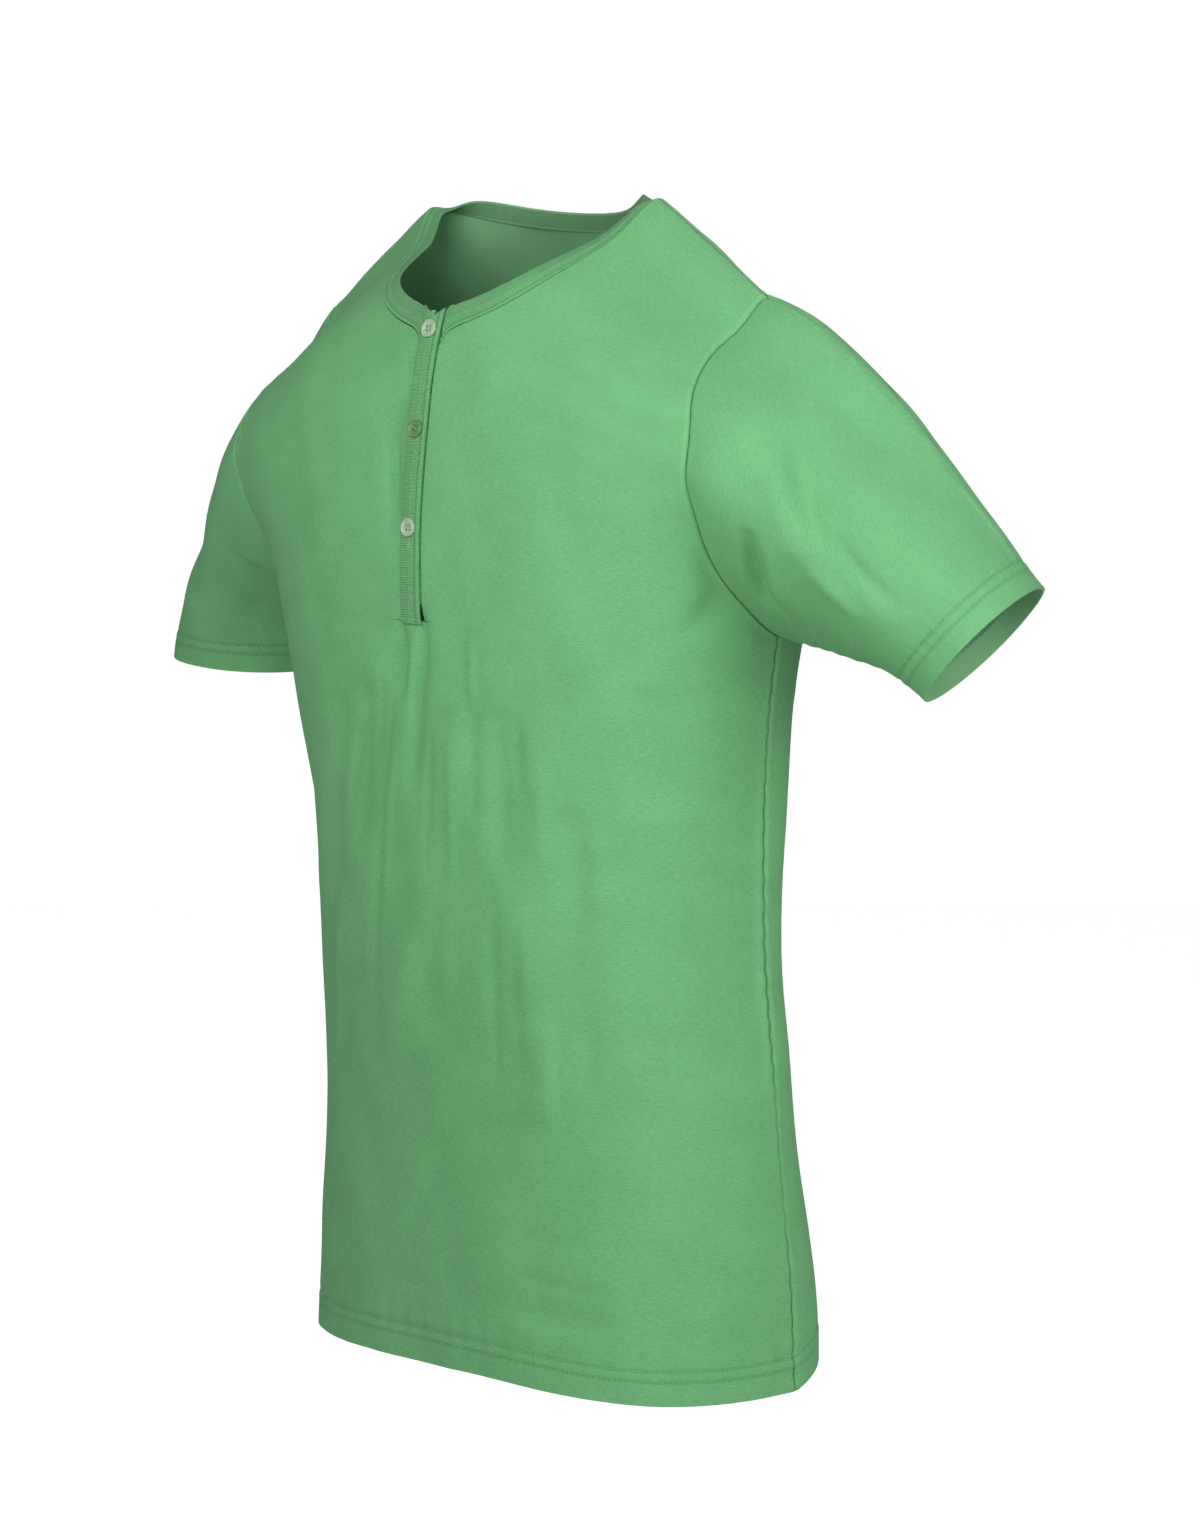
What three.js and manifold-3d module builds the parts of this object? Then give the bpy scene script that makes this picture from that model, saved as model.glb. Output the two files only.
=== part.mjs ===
// A short-sleeved henley shirt of cotton jersey, filled out as it is worn, with nobody in it.
// Front, back, two sleeves, a ribbed neckband and two placket strips are separate cloth walls
// that meet 0.3 mm apart at their seams, and three four-hole buttons lie on the placket.
// Millimetres. +X is the wearer's left, -Y is the front and +Z is up. The origin is midway
// between the two high shoulder points, where the wearer's shoulders carry the shirt.

import * as THREE from "three";
import { mergeVertices } from "three/addons/utils/BufferGeometryUtils.js";
import Module from "manifold-3d";

// Cloth and seams
const WALL = 1.6;
const SEAM_GAP = 0.3;
const HEM_DEPTH = 24;
const CUFF_DEPTH = 22;
const TURNED_CLOTH = 0.8; // how much thicker a turned-up hem is, on its inner side

// Neck
const NECK_HALF = 101; // from the centre to the high shoulder point
const NECK_DROP_BACK = 16;
const BAND_WIDTH = 15.5;
const BAND_END = 22; // the band's width at the placket, where it is cut upright
const BAND_END_GAP = 0.8; // from the band's end to the placket's edge
const BAND_SEAM_GAP = 0.4;
const BAND_WALL = 2.2;
const BAND_LEAN = { back: 0.1, shoulder: 1.0 }; // steeper than the cloth at the back, flatter on top

// Placket and buttons
const PLACKET_HALF = 8.5;
const PLACKET_WALL = 1.5;
const PLACKET_TOP = -70; // the lowest point of the neck opening
const PLACKET_TOP_SLOPE = 0.5;
// The strips: half width, lower end, and how far their middle lies above the front's middle
const UPPER_PLACKET = { half: 8.5, bottom: -258, lift: 2.1 };
const UNDER_PLACKET = { half: 8.1, bottom: -246, lift: -0.1 };
const BUTTON_PROFILE = [
  { radius: 0, height: 0 },
  { radius: 5.0, height: 0 },
  { radius: 5.6, height: 0.6 },
  { radius: 5.6, height: 1.7 },
  { radius: 5.1, height: 2.2 },
  { radius: 4.3, height: 2.2 },
  { radius: 3.5, height: 1.5 },
  { radius: 0, height: 1.3 },
];
const BUTTON_HEIGHTS = [-79, -139, -199];
const BUTTON_GAP = 0.15;
const BUTTON_HOLE = 0.75;
const BUTTON_HOLE_OFF = 1.25;

// The neckline's seam on the front, from the placket to the high shoulder point.
const NECKLINE = [
  { x: PLACKET_HALF, z: -88 },
  { x: 16, z: -79 },
  { x: 34, z: -73 },
  { x: 52, z: -65 },
  { x: 70, z: -52 },
  { x: 86, z: -31 },
  { x: NECK_HALF, z: 0 },
];

// Shoulders
const SHOULDER_HALF = 187; // from the centre to the top of the armhole
const SHOULDER_ROUND = 60; // how softly the shoulder line starts at the neck

// The body's level curves from hem to shoulder line: height at the centre, half width, how far
// the front and the back stand from the shoulder line, where the side seam lies, how square the
// two halves of the curve are, and how far the level drops at the armhole's top.
const BODY_LEVELS = [
  { z: -730, half: 184, front: 95, back: 117, side: 39, squareFront: 2.6, squareBack: 2.3, drop: 0 },
  { z: -660, half: 181, front: 92, back: 113, side: 38, squareFront: 2.6, squareBack: 2.3, drop: 0 },
  { z: -590, half: 175, front: 90, back: 102, side: 35, squareFront: 2.6, squareBack: 2.3, drop: 0 },
  { z: -520, half: 171, front: 94, back: 92, side: 32, squareFront: 2.6, squareBack: 2.3, drop: 0 },
  { z: -455, half: 168, front: 101, back: 88, side: 29, squareFront: 2.6, squareBack: 2.3, drop: 0 },
  { z: -390, half: 170, front: 103, back: 93, side: 25, squareFront: 2.6, squareBack: 2.3, drop: 0 },
  { z: -325, half: 178, front: 105, back: 99, side: 19, squareFront: 2.7, squareBack: 2.3, drop: 0 },
  { z: -256, half: 191, front: 108, back: 100, side: 14, squareFront: 2.8, squareBack: 2.3, drop: 6 },
  { z: -198, half: 207, front: 108, back: 105, side: 9, squareFront: 2.8, squareBack: 2.4, drop: 18 },
  { z: -139, half: 230, front: 102, back: 107, side: 5, squareFront: 3.2, squareBack: 2.4, drop: 36 },
  { z: -85, half: 250, front: 92, back: 100, side: 3, squareFront: 3.5, squareBack: 2.4, drop: 60 },
  { z: -35, half: 256, front: 71, back: 84, side: 2, squareFront: 3.6, squareBack: 2.4, drop: 80 },
  { z: 10, half: 250, front: 26, back: 40, side: 3, squareFront: 3.1, squareBack: 2.4, drop: 97 },
  { z: 47, half: 250, front: -4, back: 4, side: 4, squareFront: 2.6, squareBack: 2.4, drop: 105 },
];
// The hem's rise above its level at the back and the front. It stays low longest on the left.
const HEM_RISE = { back: 30, front: 9, squareLeft: 6, squareRight: 1.5, fades: 170 };

const UNDERARM_LEVEL = 7;
const CROWN_LEVEL = BODY_LEVELS.length - 1;

// The armhole's edge from underarm to shoulder, in even steps: the share of each quarter of the
// body, from the centre to the side seam, that the front and the back panel reach.
const ARMHOLE = [
  { front: 1.0, back: 1.0 },
  { front: 0.89, back: 0.9 },
  { front: 0.75, back: 0.79 },
  { front: 0.63, back: 0.71 },
  { front: 0.53, back: 0.65 },
  { front: 0.475, back: 0.59 },
  { front: 0.44, back: 0.53 },
  { front: 0.5, back: 0.5 },
];
const ARMHOLE_BOTTOM_ROUND = 1.7; // how wide the armhole's rounded bottom is

// The cuffs: the middle of each opening, the way it faces, the side that is its top, its half
// sizes, how far the sleeve's top swings out on the way, and how much it swells all round.
// The right arm hangs closer to the body. Both are given as for the left.
const CUFF_LEFT = {
  middle: [334, 36, -262],
  faces: [0.652, 0.305, -0.69],
  top: [0, 0, 1],
  tall: 46,
  wide: 52,
  swing: 235,
  swell: 0.3,
};
const CUFF_RIGHT = {
  middle: [316, 30, -301],
  faces: [0.12, 0.03, -0.99],
  top: [1, 0, 0],
  tall: 50,
  wide: 52,
  swing: 80,
  swell: 0.1,
};
// The ways that the sleeve leaves the armhole at its top and its bottom
const LEAVES_TOP = new THREE.Vector3(0.86, 0.02, -0.46);
const LEAVES_BOTTOM = new THREE.Vector3(0.75, 0.12, -0.2);
const SLEEVE_PULL = { bottom: 80, cuff: 110 };

// Soft folds as seen from the front, each from (x, z) to (x2, z2). A rise above zero stands out
// from the form and a rise below zero sinks in. Those beyond x = 200 are on the sleeves.
const FRONT_FOLDS = [
  { x: 12, z: -252, x2: -7, z2: -361, width: 7, rise: -2.4 },
  { x: -7, z: -256, x2: -17, z2: -304, width: 7, rise: -2 },
  { x: -16, z: -269, x2: -33, z2: -363, width: 8, rise: -1.8 },
  { x: -42, z: -292, x2: -64, z2: -405, width: 11, rise: -2.4 },
  { x: -69, z: -305, x2: -103, z2: -455, width: 13, rise: -2.8 },
  { x: 18, z: -395, x2: -45, z2: -540, width: 15, rise: 2.6 },
  { x: 48, z: -300, x2: 46, z2: -380, width: 8, rise: -1.6 },
  { x: 71, z: -305, x2: 67, z2: -410, width: 10, rise: -2 },
  { x: 116, z: -365, x2: 113, z2: -450, width: 11, rise: -2.2 },
  { x: 111, z: -435, x2: 108, z2: -535, width: 11, rise: -2 },
  { x: 89, z: -495, x2: 87, z2: -565, width: 12, rise: 2 },
  { x: 160, z: -290, x2: 158, z2: -370, width: 12, rise: -2.4 },
  { x: 163, z: -400, x2: 172, z2: -540, width: 14, rise: -2.2 },
  { x: -24, z: -120, x2: -16, z2: -195, width: 9, rise: -2.4 },
  { x: 252, z: -205, x2: 222, z2: -247, width: 9, rise: -3 },
  { x: 264, z: -196, x2: 234, z2: -243, width: 9, rise: 2 },
  { x: 258, z: -132, x2: 312, z2: -240, width: 11, rise: -2.6 },
  { x: 263, z: -155, x2: 274, z2: -216, width: 10, rise: 2 },
  { x: 312, z: -190, x2: 328, z2: -244, width: 10, rise: -2 },
  { x: -228, z: -228, x2: -266, z2: -288, width: 10, rise: -2.6 },
  { x: -262, z: -150, x2: -300, z2: -262, width: 12, rise: -2 },
  { x: 60, z: -672, x2: 132, z2: -680, width: 9, rise: -1.6 },
];

// The same on the back, also with x counted to the wearer's left
const BACK_FOLDS = [
  { x: -74, z: -140, x2: -42, z2: -300, width: 17, rise: -2.6 },
  { x: 79, z: -155, x2: 52, z2: -325, width: 16, rise: -2.4 },
  { x: -128, z: -418, x2: -22, z2: -462, width: 15, rise: -2.8 },
  { x: 122, z: -440, x2: 30, z2: -498, width: 14, rise: -2.4 },
  { x: 58, z: -520, x2: 74, z2: -665, width: 15, rise: -2.2 },
  { x: -84, z: -505, x2: -96, z2: -640, width: 14, rise: -2 },
  { x: -10, z: -560, x2: -4, z2: -690, width: 16, rise: 2 },
  { x: 150, z: -275, x2: 132, z2: -400, width: 14, rise: -2.4 },
  { x: -152, z: -268, x2: -140, z2: -385, width: 14, rise: -2.6 },
  { x: 236, z: -150, x2: 296, z2: -225, width: 12, rise: -2.4 },
  { x: 222, z: -205, x2: 262, z2: -252, width: 10, rise: -2.2 },
  { x: -236, z: -175, x2: -280, z2: -262, width: 12, rise: -2.4 },
];

// Grids
const BODY_ROWS = 15;
const ARMHOLE_ROWS_LOW = 7;
const ARMHOLE_ROWS_HIGH = 8;
const HALF_COLUMNS = 13;
const COLUMN_CROWDING = 1.25; // above 1 the columns stand closer near the centre
const SLEEVE_RINGS = 10;
const BAND_COLUMNS = 3;
const PLACKET_ROWS = 14;
const PLACKET_COLUMNS = 4;
const ROUND_SEGMENTS = 24;

const manifold = await Module();
manifold.setup();

function mix(a, b, share) {
  return a + (b - a) * share;
}

function clamp(value, low, high) {
  return Math.min(Math.max(value, low), high);
}

// One column of a table at a fractional row, on a smooth curve through the rows.
function columnAt(rows, name, at) {
  const last = rows.length - 1;
  const i = clamp(Math.floor(at), 0, last - 1);
  const s = at - i;
  const value = (row) => rows[clamp(row, 0, last)][name];
  const [a, b, c, d] = [value(i - 1), value(i), value(i + 1), value(i + 2)];
  const square = 2 * a - 5 * b + 4 * c - d;
  const cube = 3 * b - a - 3 * c + d;
  return 0.5 * (2 * b + (c - a) * s + square * s * s + cube * s ** 3);
}

// The value between low and high at which a rising function reaches zero.
function solve(rising, low, high) {
  for (let i = 0; i < 40; i++) {
    const middle = (low + high) / 2;
    if (rising(middle) < 0) low = middle;
    else high = middle;
  }
  return (low + high) / 2;
}

// Past the shoulder line the levels run down the other face, so that the line is rounded.
const crown = BODY_LEVELS[CROWN_LEVEL];
const belowCrown = BODY_LEVELS[CROWN_LEVEL - 1];
const BODY = [...BODY_LEVELS, {
  ...belowCrown,
  front: 2 * crown.front - belowCrown.front,
  back: 2 * crown.back - belowCrown.back,
}];

// How much of a level's drop is reached at a distance from the centre: 1 at the armhole's top.
function dropShare(x) {
  const curve = (u) => (u * u) / (u + SHOULDER_ROUND);
  return curve(Math.abs(x)) / curve(SHOULDER_HALF);
}

// A point of the body's smooth form. face is -1 on the front and 1 on the back, turn runs from 0
// at the centre to 1 at the side seam, level counts up the table, and hand is 1 on the left.
// The right half is given mirrored, as if it were the left.
function smoothPoint(face, turn, level, hand) {
  const side = columnAt(BODY, "side", level);
  const front = columnAt(BODY, "front", level) + side;
  const back = columnAt(BODY, "back", level) - side;
  const square = columnAt(BODY, face < 0 ? "squareFront" : "squareBack", level);
  const sine = Math.sin((turn * Math.PI) / 2);
  const cosine = Math.cos((turn * Math.PI) / 2);
  const reach = (Math.abs(sine) ** square + Math.abs(cosine) ** square) ** (-1 / square);
  const x = columnAt(BODY, "half", level) * reach * sine;
  const y = side + face * (face < 0 ? front : back) * reach * cosine;
  const height = columnAt(BODY, "z", level);
  const low = clamp(1 - (height - BODY[0].z) / HEM_RISE.fades, 0, 1) ** 2;
  const near = Math.abs(reach * cosine);
  const frontShare = near ** (hand < 0 ? HEM_RISE.squareRight : HEM_RISE.squareLeft);
  const rise = low * (face < 0 ? HEM_RISE.front * frontShare : HEM_RISE.back * near);
  return new THREE.Vector3(x, y, height - columnAt(BODY, "drop", level) * dropShare(x) + rise);
}

function smoothNormal(face, turn, level, hand) {
  const step = 0.004;
  const at = (right, up) => smoothPoint(face, turn + right * step, level + up * step, hand);
  const across = at(1, 0).sub(at(-1, 0));
  const up = at(0, 1).sub(at(0, -1));
  return across.cross(up).multiplyScalar(-face).normalize();
}

// How far the folds of a table lift the cloth at a place seen from the front.
function foldRise(folds, x, z) {
  let rise = 0;
  for (const fold of folds) {
    const [dx, dz] = [fold.x2 - fold.x, fold.z2 - fold.z];
    const along = ((x - fold.x) * dx + (z - fold.z) * dz) / (dx * dx + dz * dz);
    if (along <= 0 || along >= 1) continue;
    const off = Math.hypot(x - fold.x - along * dx, z - fold.z - along * dz);
    rise += fold.rise * (4 * along * (1 - along)) ** 0.7 * Math.exp(-((off / fold.width) ** 2));
  }
  return rise;
}

// A point of the cloth with its normal: the smooth form with its folds.
function clothPoint(face, turn, level, hand) {
  const normal = smoothNormal(face, turn, level, hand);
  const place = smoothPoint(face, turn, level, hand);
  const folds = face < 0 ? FRONT_FOLDS : BACK_FOLDS;
  place.addScaledVector(normal, foldRise(folds, place.x * hand, place.z));
  return { place: mirrored(place, hand), normal: mirrored(normal, hand), wall: WALL };
}

function mirrored(vector, hand) {
  return new THREE.Vector3(vector.x * hand, vector.y, vector.z);
}

function turnAtX(face, x, level) {
  return solve((turn) => smoothPoint(face, turn, level, 1).x - x, -0.2, 1);
}

function levelAtHeight(z) {
  return solve((level) => columnAt(BODY, "z", level) - z, 0, CROWN_LEVEL);
}

// The seam of band and panel, as seen from the front: its height at a distance from the centre.
function necklineHeight(face, x) {
  if (face > 0) return -NECK_DROP_BACK * (1 - (x / NECK_HALF) ** 2.2);
  const row = solve((at) => columnAt(NECKLINE, "x", at) - x, 0, NECKLINE.length - 1);
  return columnAt(NECKLINE, "z", row);
}

// Where the neckline crosses a level, as a turn.
function turnAtNeckline(face, level) {
  const past = (turn) => {
    const p = smoothPoint(face, turn, level, 1);
    return necklineHeight(face, p.x) - p.z;
  };
  const low = turnAtX(face, face < 0 ? PLACKET_HALF : 0, level);
  return solve(past, low, turnAtX(face, NECK_HALF + 5, level));
}

function armholeLevel(share) {
  return mix(UNDERARM_LEVEL, CROWN_LEVEL, share ** ARMHOLE_BOTTOM_ROUND);
}

function armholeTurn(face, share) {
  return columnAt(ARMHOLE, face < 0 ? "front" : "back", share * (ARMHOLE.length - 1));
}

// The rows of half a panel from hem to shoulder: level, and the turns of its inner and outer
// edges. Rows along the armhole carry their share of it.
function panelRows(face) {
  const neckLevel = levelAtHeight(face < 0 ? NECKLINE[0].z : -NECK_DROP_BACK);
  const neckRise = (neckLevel - UNDERARM_LEVEL) / (CROWN_LEVEL - UNDERARM_LEVEL);
  const neckShare = neckRise ** (1 / ARMHOLE_BOTTOM_ROUND);
  const hemTop = levelAtHeight(BODY_LEVELS[0].z + HEM_DEPTH);
  const rows = [{ level: 0 }, { level: hemTop }];
  for (let i = 0; i < BODY_ROWS; i++) {
    rows.push({ level: mix(hemTop + 0.03, UNDERARM_LEVEL, i / BODY_ROWS) });
  }
  for (let i = 0; i <= ARMHOLE_ROWS_LOW; i++) {
    rows.push({ share: mix(0, neckShare, i / ARMHOLE_ROWS_LOW) });
  }
  for (let i = 1; i <= ARMHOLE_ROWS_HIGH; i++) {
    rows.push({ share: mix(neckShare, 1, i / ARMHOLE_ROWS_HIGH), cut: true });
  }
  return rows.map(({ level: low, share, cut }) => {
    const level = share === undefined ? low : armholeLevel(share);
    const slit = face < 0 && share > 0;
    const outer = share === undefined ? 1 : armholeTurn(face, share);
    let inner = 0;
    if (cut) inner = turnAtNeckline(face, level);
    else if (slit) inner = turnAtX(face, PLACKET_HALF, level);
    return { level, share, inner, outer, cut, slit };
  });
}

// A sheet of cloth is a list of points, each with its place, its outward normal and its wall,
// and a list of triangles that face out. This adds the triangles of a grid of points.
function gridFaces(id, rows, columns, flipped, faces) {
  for (let r = 0; r < rows - 1; r++) {
    for (let c = 0; c < columns - 1; c++) {
      const corners = [id(r, c), id(r, c + 1), id(r + 1, c + 1), id(r + 1, c)];
      if (flipped) corners.reverse();
      const [a, b, d, e] = corners;
      if (a !== b && b !== d && d !== a) faces.push([a, b, d]);
      if (a !== d && d !== e && e !== a) faces.push([a, d, e]);
    }
  }
}

// Closes a sheet into a wall: its outer side, its inner side, and a rim along every free edge.
function wallGeometry({ points, faces }) {
  const moved = (point, off) => point.place.clone().addScaledVector(point.normal, off);
  const outer = points.map((point) => moved(point, point.wall / 2));
  const inner = points.map((point) => moved(point, -point.wall / 2 - (point.turned ?? 0)));
  const count = points.length;
  const triangles = [];
  const edges = new Set();
  for (const [a, b, c] of faces) {
    triangles.push(a, b, c, a + count, c + count, b + count);
    for (const edge of [[a, b], [b, c], [c, a]]) edges.add(edge.join());
  }
  for (const edge of edges) {
    const [a, b] = edge.split(",").map(Number);
    if (edges.has([b, a].join())) continue;
    triangles.push(b, a, a + count, b, a + count, b + count);
  }
  const geometry = new THREE.BufferGeometry();
  const places = [...outer, ...inner].flatMap((p) => [p.x, p.y, p.z]);
  geometry.setAttribute("position", new THREE.Float32BufferAttribute(places, 3));
  geometry.setIndex(triangles);
  return geometry;
}

// A body panel: two halves that share their centre column where the cloth isn't slit.
function panelSheet(face) {
  const rows = panelRows(face);
  const points = [];
  const faces = [];
  const shared = new Map();
  for (const hand of [1, -1]) {
    const ids = rows.map((row, r) => {
      const { level } = row;
      const sideGap = row.share > 0 ? 0 : seamTurn(face, level);
      const top = r === rows.length - 1;
      return Array.from({ length: HALF_COLUMNS + 1 }, (_, c) => {
        const onCentre = c === 0 && !row.slit && !row.cut;
        if (onCentre && shared.has(r)) return shared.get(r);
        const turn = mix(row.inner, row.outer - sideGap, (c / HALF_COLUMNS) ** COLUMN_CROWDING);
        const point = clothPoint(face, turn, level, hand);
        if (top) point.place.y += (face * SEAM_GAP) / 2;
        if (r <= 1) point.turned = TURNED_CLOTH;
        points.push(point);
        if (onCentre) shared.set(r, points.length - 1);
        return points.length - 1;
      });
    });
    gridFaces((r, c) => ids[r][c], rows.length, HALF_COLUMNS + 1, (face < 0) !== (hand > 0), faces);
  }
  return { points, faces };
}

// Half the seam gap at the side seam, as a turn.
function seamTurn(face, level) {
  const step = 0.01;
  const length = smoothPoint(face, 1, level, 1).distanceTo(smoothPoint(face, 1 - step, level, 1));
  return (SEAM_GAP * step) / (2 * length);
}

// The direction in the cloth that leaves a seam towards the piece that is sewn on.
function seamLeave(points, i, closed) {
  const count = points.length;
  const before = points[closed ? (i + count - 1) % count : Math.max(i - 1, 0)].place;
  const after = points[closed ? (i + 1) % count : Math.min(i + 1, count - 1)].place;
  const along = after.clone().sub(before);
  return points[i].normal.clone().cross(along).normalize();
}

// The armhole as a ring: from the shoulder down the front to the underarm, and up the back.
function armholeRing(hand) {
  const shares = panelRows(-1).filter((row) => row.share !== undefined).map((row) => row.share);
  const ring = shares.reverse().map((share) => ({ face: -1, share }));
  const back = panelRows(1).filter((row) => row.share > 0 && row.share < 1);
  ring.push(...back.map((row) => ({ face: 1, share: row.share })));
  return ring.map(({ face, share }) => {
    const { place, normal } = clothPoint(face, armholeTurn(face, share), armholeLevel(share), hand);
    return { share, place: mirrored(place, hand), normal: mirrored(normal, hand) };
  });
}

function hermite(from, leaving, to, arriving, s) {
  const s2 = s * s;
  const s3 = s2 * s;
  return new THREE.Vector3()
    .addScaledVector(from, 2 * s3 - 3 * s2 + 1)
    .addScaledVector(leaving, s3 - 2 * s2 + s)
    .addScaledVector(to, 3 * s2 - 2 * s3)
    .addScaledVector(arriving, s3 - s2);
}

// A sleeve: each point of the armhole runs on a smooth curve to its place on the cuff.
function sleeveSheet(hand) {
  const cuff = hand > 0 ? CUFF_LEFT : CUFF_RIGHT;
  const ring = armholeRing(hand);
  const count = ring.length;
  const faces = new THREE.Vector3(...cuff.faces).normalize();
  const tall = new THREE.Vector3(...cuff.top);
  tall.addScaledVector(faces, -faces.dot(tall)).normalize();
  const wide = faces.clone().cross(tall); // towards the front
  const lengths = [0];
  ring.forEach((p, i) => lengths.push(lengths[i] + p.place.distanceTo(ring[(i + 1) % count].place)));
  const shares = lengths.map((length) => length / lengths[count]);
  const underarm = shares[ring.findIndex((p) => p.share === 0)];
  const hemStart = 1 - CUFF_DEPTH / SLEEVE_PULL.cuff;
  const rungs = Array.from({ length: SLEEVE_RINGS }, (_, k) => (k / (SLEEVE_RINGS - 1)) * hemStart);
  rungs.push(1);
  const rings = rungs.map((s) => ring.map((p, i) => {
    const share = shares[i];
    const behind = (share - underarm) / (1 - underarm);
    const turn = Math.PI * (share < underarm ? share / underarm : 1 + behind);
    const end = new THREE.Vector3(...cuff.middle)
      .addScaledVector(tall, cuff.tall * Math.cos(turn))
      .addScaledVector(wide, cuff.wide * Math.sin(turn));
    const high = (1 + Math.cos(turn)) / 2;
    const leaving = LEAVES_BOTTOM.clone().lerp(LEAVES_TOP, high).normalize();
    leaving.addScaledVector(p.normal, cuff.swell);
    leaving.multiplyScalar(mix(SLEEVE_PULL.bottom, cuff.swing, high));
    const start = p.place.clone().addScaledVector(seamLeave(ring, i, true), SEAM_GAP);
    return hermite(start, leaving, end, faces.clone().multiplyScalar(SLEEVE_PULL.cuff), s);
  }));
  const points = [];
  rings.forEach((places, k) => places.forEach((place, i) => {
    const across = places[(i + 1) % count].clone().sub(places[(i + count - 1) % count]);
    const last = rings.length - 1;
    const onward = rings[Math.min(k + 1, last)][i].clone().sub(rings[Math.max(k - 1, 0)][i]);
    const normal = ring[i].normal.clone().lerp(across.cross(onward).normalize(), Math.min(k / 2, 1));
    normal.normalize();
    const shown = clamp(2 * Math.abs(normal.y), 0, 1) * clamp(k / 2, 0, 1);
    const rise = foldRise(normal.y < 0 ? FRONT_FOLDS : BACK_FOLDS, place.x * hand, place.z) * shown;
    points.push({
      place: mirrored(place.clone().addScaledVector(normal, rise), hand),
      normal: mirrored(normal, hand),
      wall: WALL,
      turned: k >= last - 1 ? TURNED_CLOTH : 0,
    });
  }));
  const triangles = [];
  gridFaces((r, c) => r * count + (c % count), rings.length, count + 1, hand < 0, triangles);
  return { points, faces: triangles };
}

// The neckline's left half: from the placket over the shoulder to the centre of the back.
function neckSeam() {
  const front = panelRows(-1).filter((row) => row.cut);
  const back = panelRows(1).filter((row) => row.cut).slice(0, -1).reverse();
  const corner = levelAtHeight(NECKLINE[0].z);
  const seam = front.map((row) => clothPoint(-1, row.inner, row.level, 1));
  const end = clothPoint(-1, turnAtX(-1, PLACKET_HALF, corner), corner, 1);
  end.place.lerp(seam[0].place, BAND_END_GAP / (seam[0].place.x - PLACKET_HALF));
  seam.unshift(end);
  seam.push(...back.map((row) => clothPoint(1, row.inner, row.level, 1)));
  seam.push(clothPoint(1, 0, levelAtHeight(-NECK_DROP_BACK), 1));
  return seam;
}

// The neckband: one strip from the placket's left side round the neck to its right side.
function bandSheet() {
  const seam = neckSeam();
  const last = seam.length - 1;
  const half = seam.map(({ place, normal }, i) => {
    const end = clamp((place.x - PLACKET_HALF) / 26, 0, 1);
    const atBack = i === last ? new THREE.Vector3(0, -normal.z, normal.y) : null;
    const across = atBack ?? seamLeave(seam, i, false);
    const atShoulder = (Math.abs(place.x) / NECK_HALF) ** 4;
    across.z += (i > last / 2 ? BAND_LEAN.back : 0) - BAND_LEAN.shoulder * atShoulder;
    const upright = new THREE.Vector3(0, normal.z, -normal.y);
    if (i < last / 2) across.copy(upright.lerp(across, end));
    across.normalize();
    const width = i < last / 2 ? mix(BAND_END, BAND_WIDTH, clamp(3 * end, 0, 1)) : BAND_WIDTH;
    return { place, normal, across, width };
  });
  for (let pass = 0; pass < 3; pass++) {
    const old = half.map((station) => station.across.clone());
    for (let i = 1; i < last; i++) half[i].across.add(old[i - 1]).add(old[i + 1]).normalize();
  }
  const stations = [...half, ...half.slice(0, -1).reverse().map((station) => ({
    ...station,
    place: mirrored(station.place, -1),
    normal: mirrored(station.normal, -1),
    across: mirrored(station.across, -1),
  }))];
  const points = [];
  stations.forEach(({ place, normal, across, width }, i) => {
    const after = stations[Math.min(i + 1, stations.length - 1)].place;
    const along = after.clone().sub(stations[Math.max(i - 1, 0)].place);
    const own = along.cross(across).normalize();
    for (let c = 0; c <= BAND_COLUMNS; c++) {
      const off = mix(BAND_SEAM_GAP, width, c / BAND_COLUMNS);
      const face = c === 0 || i === 0 || i === stations.length - 1 ? normal : own;
      points.push({ place: place.clone().addScaledVector(across, off), normal: face, wall: BAND_WALL });
    }
  });
  const faces = [];
  const columns = BAND_COLUMNS + 1;
  gridFaces((r, c) => r * columns + c, stations.length, columns, true, faces);
  return { points, faces };
}

// A point of the front at a place seen from the front.
function frontPoint(x, z) {
  const hand = x < 0 ? -1 : 1;
  const heightAt = (level) => smoothPoint(-1, turnAtX(-1, Math.abs(x), level), level, hand).z;
  const level = solve((at) => heightAt(at) - z, UNDERARM_LEVEL - 1, CROWN_LEVEL);
  return clothPoint(-1, turnAtX(-1, Math.abs(x), level), level, hand);
}

// A placket strip over the slit, lifted off the front.
function placketSheet({ half, bottom, lift }) {
  const points = [];
  for (let r = 0; r <= PLACKET_ROWS; r++) {
    for (let c = 0; c <= PLACKET_COLUMNS; c++) {
      const x = mix(-half, half, c / PLACKET_COLUMNS);
      const top = PLACKET_TOP + Math.abs(x) * PLACKET_TOP_SLOPE;
      const { place, normal } = frontPoint(x, mix(bottom, top, r / PLACKET_ROWS));
      place.addScaledVector(normal, lift);
      points.push({ place, normal, wall: PLACKET_WALL });
    }
  }
  const faces = [];
  const columns = PLACKET_COLUMNS + 1;
  gridFaces((r, c) => r * columns + c, PLACKET_ROWS + 1, columns, false, faces);
  return { points, faces };
}

function toSolid(geometry) {
  geometry.deleteAttribute("normal");
  geometry.deleteAttribute("uv");
  const merged = mergeVertices(geometry);
  const vertProperties = merged.attributes.position.array;
  const triVerts = merged.index.array;
  return new manifold.Manifold(new manifold.Mesh({ numProp: 3, vertProperties, triVerts }));
}

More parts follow.
